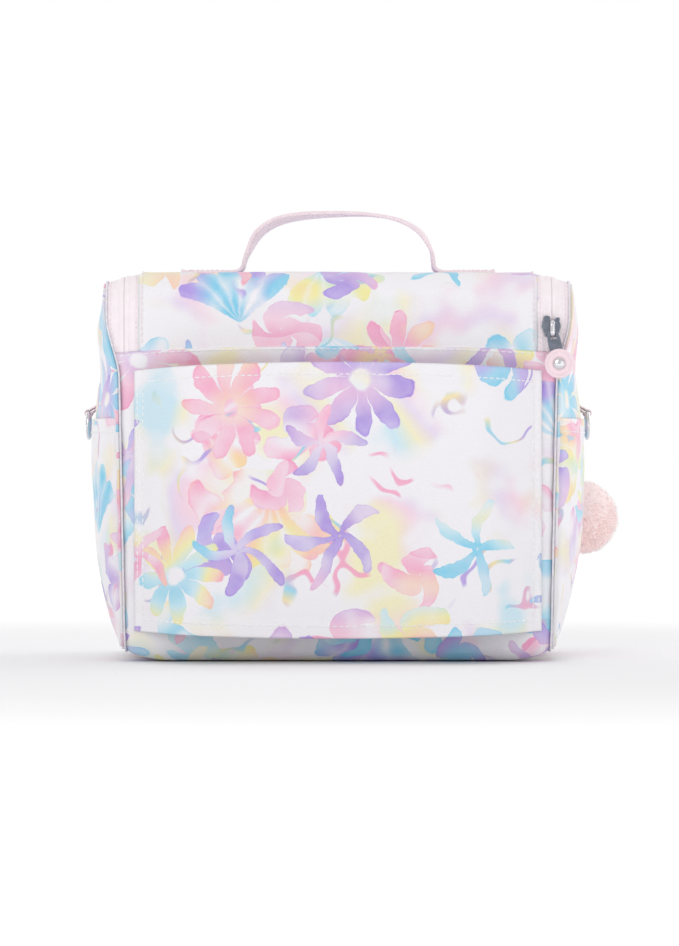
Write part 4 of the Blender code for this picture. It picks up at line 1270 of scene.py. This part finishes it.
def flat_plate(name, points, holes, thick, look, bevel, origin, tilt=0.0):
    """A flat plate in the XZ plane with softened edges; outlines are (x, z)."""
    curve = bpy.data.curves.new(name, "CURVE")
    curve.dimensions = "2D"
    curve.fill_mode = "BOTH"
    curve.extrude = thick / 2.0 - bevel
    curve.bevel_depth = bevel
    curve.bevel_resolution = 2
    for line in [points] + holes:
        spline = curve.splines.new("POLY")
        spline.points.add(len(line) - 1)
        for knot, point in zip(spline.points, line):
            knot.co = (point[0], point[1], 0.0, 1.0)
        spline.use_cyclic_u = True
    source = bpy.data.objects.new(name, curve)
    bpy.context.scene.collection.objects.link(source)
    mesh = bpy.data.meshes.new_from_object(source.evaluated_get(bpy.context.evaluated_depsgraph_get()))
    bpy.data.objects.remove(source)
    bpy.data.curves.remove(curve)
    mesh.materials.clear()
    mesh.materials.append(look)
    mesh.transform(Matrix.Translation(origin) @ Matrix.Rotation(tilt, 4, "Y") @ Matrix.Rotation(math.pi / 2.0, 4, "X"))
    mesh.name = name
    piece = bpy.data.objects.new(name, mesh)
    bpy.context.scene.collection.objects.link(piece)
    return piece


def rounded(points, radius, steps=4):
    """Outline with its corners rounded."""
    result = []
    count = len(points)
    for i in range(count):
        here = Vector(points[i])
        before = Vector(points[i - 1]) - here
        after = Vector(points[(i + 1) % count]) - here
        cut = min(radius, before.length * 0.45, after.length * 0.45)
        start = here + before.normalized() * cut
        end = here + after.normalized() * cut
        for k in range(steps + 1):
            t = k / steps
            result.append(tuple(start * (1 - t) ** 2 + here * (2 * t * (1 - t)) + end * t * t))
    return result


def turned_mesh(name, profile, look, centre, sides=48, closed=False):
    """A round piece about the Y axis; profile is (radius, distance out towards -Y)."""
    verts = []
    faces = []
    for radius, out in profile:
        for j in range(sides):
            angle = 2.0 * math.pi * j / sides
            verts.append(centre + Vector((radius * math.cos(angle), -out, radius * math.sin(angle))))
    rows = len(profile)
    for i in range(rows if closed else rows - 1):
        k = (i + 1) % rows
        for j in range(sides):
            m = (j + 1) % sides
            faces.append((i * sides + j, i * sides + m, k * sides + m, k * sides + j))
    piece = add_mesh(name, verts, faces, look)
    form = bmesh.new()
    form.from_mesh(piece.data)
    bmesh.ops.remove_doubles(form, verts=form.verts, dist=0.00001)
    bmesh.ops.recalc_face_normals(form, faces=form.faces)
    form.to_mesh(piece.data)
    form.free()
    return piece


def build_slider():
    outline = [(-0.0013, 0.0004), (-0.0010, 0.0030), (-0.0012, 0.0056), (-0.0037, 0.0058), (-0.0040, 0.0038),
                  (-0.0050, 0.0006), (-0.0036, -0.0026), (-0.0030, -0.0048), (0.0030, -0.0048), (0.0036, -0.0026),
                  (0.0046, 0.0006), (0.0038, 0.0030), (0.0040, 0.0050), (0.0020, 0.0046), (0.0012, 0.0026),
                  (0.0013, 0.0004)]
    plate = flat_plate("slider_plate", rounded(outline, 0.0007), [], 0.0013, LOOK_GREY, 0.0004,
                       Vector((ZIP_X - 0.0003, (PLATE_IN + PLATE_OUT) / 2.0, SLIDER_Z)))
    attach(plate, "slider")
    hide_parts("zip_slider")
    low = PIVOT.z - BRIDGE
    high = SLIDER_Z + 0.0030
    crest = PIVOT.y - BRIDGE
    points = [Vector((ZIP_X, PLATE_OUT + 0.0003, low))]
    for step in range(7):
        angle = step / 6.0 * math.pi / 2.0
        points.append(Vector((ZIP_X, PIVOT.y - BRIDGE * math.sin(angle), PIVOT.z - BRIDGE * math.cos(angle))))
    points += [Vector((ZIP_X, crest, z)) for z in spread(PIVOT.z + 0.001, high - 0.0016, 4)]
    points += [Vector((ZIP_X, crest + 0.0004, high - 0.0006)), Vector((ZIP_X, crest + 0.0013, high)),
               Vector((ZIP_X, PLATE_OUT + 0.0003, high))]
    bridge = add_mesh("slider_arch", *tube_mesh(points, 0.0007, sides=14, flat=1.8, up=Vector((1, 0, 0))), LOOK_SILVER)
    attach(bridge, "slider")
    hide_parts("slider_bridge")


def build_puller():
    plate = [(-0.0023, 0.0006), (0.0023, 0.0006), (0.0032, -0.0040), (0.0031, -0.0130), (0.0016, -0.0190),
             (-0.0016, -0.0190), (-0.0031, -0.0130), (-0.0032, -0.0040)]
    hole = [(-0.0017, -0.0006), (-0.0018, -0.0040), (0.0018, -0.0040), (0.0017, -0.0006)]
    blade = flat_plate("puller_blade", rounded(plate, 0.0008), [rounded(hole, 0.0005)], 0.0011, LOOK_GREY, 0.0003,
                       PIVOT, -PULLER_TILT)
    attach(blade, "puller")
    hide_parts("puller_plate")
    down = Vector((math.sin(PULLER_TILT), 0.0, -math.cos(PULLER_TILT)))
    centre = PIVOT + down * DISC_DROP
    back = 0.0008
    rim = 0.0078
    profile = [(0.0014, back), (0.0066, back), (0.0073, back + 0.0002), (rim, back + 0.0008), (rim, back + 0.0015),
               (0.0076, back + 0.0021), (0.0071, back + 0.0024), (0.0066, back + 0.0024), (0.0062, back + 0.0021),
               (0.0060, back + 0.0018), (0.0046, back + 0.0018), (0.0043, back + 0.0020), (0.0039, back + 0.0020),
               (0.0036, back + 0.0018), (0.0014, back + 0.0018)]
    disc = turned_mesh("rubber_disc", profile, LOOK_RUBBER, centre, closed=True)
    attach(disc, "puller")
    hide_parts("pull_disc")
    head = back + 0.0019
    dome = [(0.0, back), (0.0010, back), (0.0010, head), (0.0030, head), (0.00305, head + 0.0003)]
    dome += [(0.0030 * math.cos(a), head + 0.0004 + 0.0011 * math.sin(a)) for a in spread(0.1, math.pi / 2.0, 8)]
    rivet = turned_mesh("rivet_dome", dome, LOOK_SILVER, centre, 32)
    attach(rivet, "puller")
    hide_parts("pull_rivet")


# ---------- rings, tabs and charm ----------
D_RING_BAR = Vector((0.1353, 0.0, 0.1315))
D_RING_WIRE = 0.0011
D_RING_HALF = 0.0085
D_RING_DROP = 0.0135
CHARM_PIVOT = Vector((0.1219, 0.0776, 0.1210))
CHARM_OUT = Vector((1.0, 1.0, 0.0)).normalized()
CHARM_ALONG = Vector((1.0, -1.0, 0.0)).normalized()
CHARM_REACH = Vector((0.0150, 0.0050, -0.0460))
POMPOM_RADIUS = 0.022


def d_ring_points(centre, along, down, half, drop):
    points = [centre + along * (half * share) for share in spread(-0.94, 0.94, 8)]
    straight = drop - half * 0.9
    for step in range(25):
        angle = step / 24.0 * math.pi
        squeeze = 1.06 * math.cos(angle)
        points.append(centre + along * (half * squeeze) + down * (straight + half * 0.9 * math.sin(angle)))
    return points


def folded_tab(name, centre, out, along, tail, width, look):
    """Webbing folded round a ring's bar, its two ends running along tail to where it is sewn in."""
    across = along
    path = []
    wrap = 0.0017
    for angle in spread(-60.0, 240.0, 18):
        a = math.radians(angle)
        path.append(Vector((wrap * math.cos(a), wrap * math.sin(a))))
    # local x is away from the tail's line, local y is back along the tail
    lead = [Vector((0.00052, -0.0074)), Vector((0.00055, -0.0050)), Vector((0.0009, -0.0028))]
    finish = [Vector((-0.0009, -0.0028)), Vector((-0.00055, -0.0050)), Vector((-0.00052, -0.0074))]
    path = lead + path + finish

    def place(point, y, run):
        return centre + out * point.x - tail * point.y + across * y

    return ribbon(name, path, width / 2.0, 0.0009, look, place)


def build_d_rings():
    for name, side in (("left", -1.0), ("right", 1.0)):
        centre = Vector((side * D_RING_BAR.x, 0.0, D_RING_BAR.z))
        along = Vector((0.0, 1.0, 0.0))
        points = d_ring_points(centre, along, Vector((0.0, 0.0, -1.0)), D_RING_HALF, D_RING_DROP)
        ring = add_mesh("ring_wire_" + name, *tube_mesh(points, D_RING_WIRE, sides=12, closed=True,
                                                         up=Vector((1.0, 0.0, 0.0))), LOOK_SILVER)
        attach(ring, "ring_" + name)
        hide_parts("d_ring_" + name)
        tail = Vector((-side * 0.80, 0.0, 0.60)).normalized()
        out = Vector((side * 0.60, 0.0, 0.80)).normalized()
        tab = folded_tab("ring_tab_" + name, centre, out, along, tail, 0.0130, LOOK_WEBBING)
        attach(tab, "bag")
        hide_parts("d_ring_tab_" + name)


def build_charm():
    random.seed(7)
    down = CHARM_REACH.normalized()
    out = down.cross(CHARM_ALONG).normalized()
    ring = add_mesh("charm_ring_wire", *tube_mesh(d_ring_points(CHARM_PIVOT, CHARM_ALONG, down, 0.0055, 0.0095), 0.0009,
                                                  sides=10, closed=True, up=out), LOOK_SILVER)
    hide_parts("charm_ring")
    top = 0.0074
    low = CHARM_REACH.length - POMPOM_RADIUS + 0.004
    loop_points = []
    for step in range(28):
        angle = step / 28.0 * 2.0 * math.pi
        stretch = top + 0.0021 if math.sin(angle) < 0.0 else low - 0.0021
        loop_points.append(CHARM_PIVOT + down * (stretch + 0.0021 * math.sin(angle)) + out * (0.0020 * math.cos(angle)))
    cord = add_mesh("charm_loop", *tube_mesh(loop_points, 0.0008, sides=8, closed=True), LOOK_WEBBING)
    cord.data.uv_layers.new(name="cloth")
    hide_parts("charm_cord")
    tab = folded_tab("charm_tab_webbing", CHARM_PIVOT, Vector((0.0, 0.0, 1.0)), CHARM_ALONG, -CHARM_OUT, 0.0080,
                     LOOK_WEBBING)
    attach(tab, "bag")
    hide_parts("charm_tab")
    centre = CHARM_PIVOT + CHARM_REACH
    verts = []
    faces = []
    strands = 6500
    for number in range(strands):
        height = 1.0 - 2.0 * (number + 0.5) / strands
        turn = number * 2.399963
        flat = math.sqrt(max(0.0, 1.0 - height * height))
        ray = Vector((flat * math.cos(turn), flat * math.sin(turn), height))
        ray = (ray + 0.20 * Vector((random.gauss(0, 1), random.gauss(0, 1), random.gauss(0, 1)))).normalized()
        clump = 0.5 + 0.5 * noise.noise(ray * 4.5)
        length = POMPOM_RADIUS * (0.84 + 0.13 * clump + 0.05 * random.random())
        side = ray.orthogonal().normalized()
        side.rotate(Matrix.Rotation(random.uniform(0.0, 6.28), 3, ray))
        curl = side * random.uniform(0.001, 0.0045) + Vector((0.0, 0.0, -0.0012))
        base = len(verts)
        other = ray.cross(side)
        for share, wide in ((0.72, 0.00036), (0.86, 0.00032), (0.95, 0.00020)):
            place = centre + ray * (length * share) + curl * (share * share)
            for k in range(3):
                angle = k * 2.0944
                verts.append(place + (side * math.cos(angle) + other * math.sin(angle)) * wide)
        verts.append(centre + (ray * length + curl))
        for row in (0, 3):
            for k in range(3):
                m = (k + 1) % 3
                faces.append((base + row + k, base + row + m, base + row + 3 + m, base + row + 3 + k))
        for k in range(3):
            faces.append((base + 6 + k, base + 6 + (k + 1) % 3, base + 9))
    for row in spread(0.0, math.pi, 20):
        for column in spread(0.0, 2.0 * math.pi, 32)[:-1]:
            ray = Vector((math.sin(row) * math.cos(column), math.sin(row) * math.sin(column), math.cos(row)))
            verts.append(centre + ray * POMPOM_RADIUS * (0.86 + 0.07 * noise.noise(ray * 4.5)))
    start = len(verts) - 21 * 32
    for i in range(20):
        for j in range(32):
            m = (j + 1) % 32
            faces.append((start + i * 32 + j, start + (i + 1) * 32 + j, start + (i + 1) * 32 + m, start + i * 32 + m))
    fur = add_mesh("pompom_fur_strands", verts, faces, LOOK_FUR)
    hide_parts("pompom")
    for piece in (ring, cord, fur):
        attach(piece, "charm")


# ---------- build the object ----------
body_shell = build_body_shell()
gussets = [build_gusset("gusset_left_cloth", -1.0), build_gusset("gusset_right_cloth", 1.0)]
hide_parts("left_gusset")
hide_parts("right_gusset")
pockets = [build_pocket("pocket_left_cloth", -1.0, gussets[0]), build_pocket("pocket_right_cloth", 1.0, gussets[1])]
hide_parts("side_pocket_left")
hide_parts("side_pocket_right")
build_lid()
build_zip()
build_seam("seam_welt_left", -1.0)
build_seam("seam_welt_right", 1.0)
build_lining()
sleeve = build_sleeve()
build_hem_stitches()
build_handle()
build_slider()
build_puller()
build_d_rings()
build_charm()
for node, look in (("base_board", LOOK_BOARD), ("slider_core", LOOK_GREY)):
    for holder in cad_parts[node].material_slots:
        holder.material = look


# ---------- stage ----------
FLOOR_RADIUS = 3.0
FLOOR_DROP = 0.0006
STUDIO_LIGHT = 0.68
CAMERA_PLACE = (0.0008, -2.2550, 0.0990)
LAMPS = [("key", (-0.8, -2.0, 1.0), 1.2, 8.0), ("fill", (1.3, -1.9, 0.3), 1.6, 3.5), ("top", (0.2, 0.3, 1.9), 1.6, 4.0),
         ("rear_right", (1.4, 0.8, 0.7), 1.1, 6.0), ("rear_left", (-1.2, 1.3, 0.9), 1.2, 5.0)]


def floor_look():
    """Pale floor with a painted glow that brightens it away from the bag until it meets the white studio."""
    material, s, shader = new_material("floor_paint", 0.9)
    shader.inputs["Base Color"].default_value = srgb("FAFAFB")
    shader.inputs["Specular IOR Level"].default_value = 0.1
    reach = s.vector("LENGTH", s.node("ShaderNodeTexCoord").outputs["Object"])
    # painted glow: emission rising from none within 0.3 m of the floor's centre to 0.5 at 1.4 m out lightens the floor
    # into the white background
    shader.inputs["Emission Color"].default_value = (1.0, 1.0, 1.0, 1.0)
    s.feed(shader.inputs["Emission Strength"], s.remap(reach, 0.3, 1.4, 0.0, 0.5))
    return material


def studio_world():
    """White to the camera, softer as a light."""
    world = bpy.data.worlds.new("studio")
    world.use_nodes = True
    s = Sheet(world.node_tree)
    seen = s.node("ShaderNodeLightPath").outputs["Is Camera Ray"]
    sky = world.node_tree.nodes["Background"]
    sky.inputs["Color"].default_value = (1.0, 1.0, 1.0, 1.0)
    s.feed(sky.inputs["Strength"], s.remap(seen, 0.0, 1.0, STUDIO_LIGHT, 1.0))
    return world


def build_stage():
    rim = [(FLOOR_RADIUS * math.cos(a), FLOOR_RADIUS * math.sin(a), 0.0) for a in spread(0.0, 2.0 * math.pi, 96)[:-1]]
    floor = add_mesh("floor", rim, [tuple(range(len(rim)))], floor_look(), smooth=False)
    floor.location.z = -FLOOR_DROP
    bpy.context.scene.world = studio_world()
    for name, place, size, power in LAMPS:
        lamp = bpy.data.lights.new(name, "AREA")
        lamp.size = size
        lamp.energy = power
        holder = bpy.data.objects.new(name, lamp)
        holder.location = place
        aim = Vector((0.0, 0.0, 0.1)) - Vector(place)
        holder.rotation_euler = aim.to_track_quat("-Z", "Y").to_euler()
        bpy.context.scene.collection.objects.link(holder)
    eye = bpy.data.cameras.new("camera")
    eye.lens = 158.0
    eye.sensor_width = 36.0
    eye.clip_end = 20.0
    camera = bpy.data.objects.new("camera", eye)
    camera.location = CAMERA_PLACE
    camera.rotation_euler = (math.pi / 2.0, 0.0, 0.0)
    bpy.context.scene.collection.objects.link(camera)
    bpy.context.scene.camera = camera
    bpy.context.scene.view_settings.view_transform = "Standard"


build_stage()
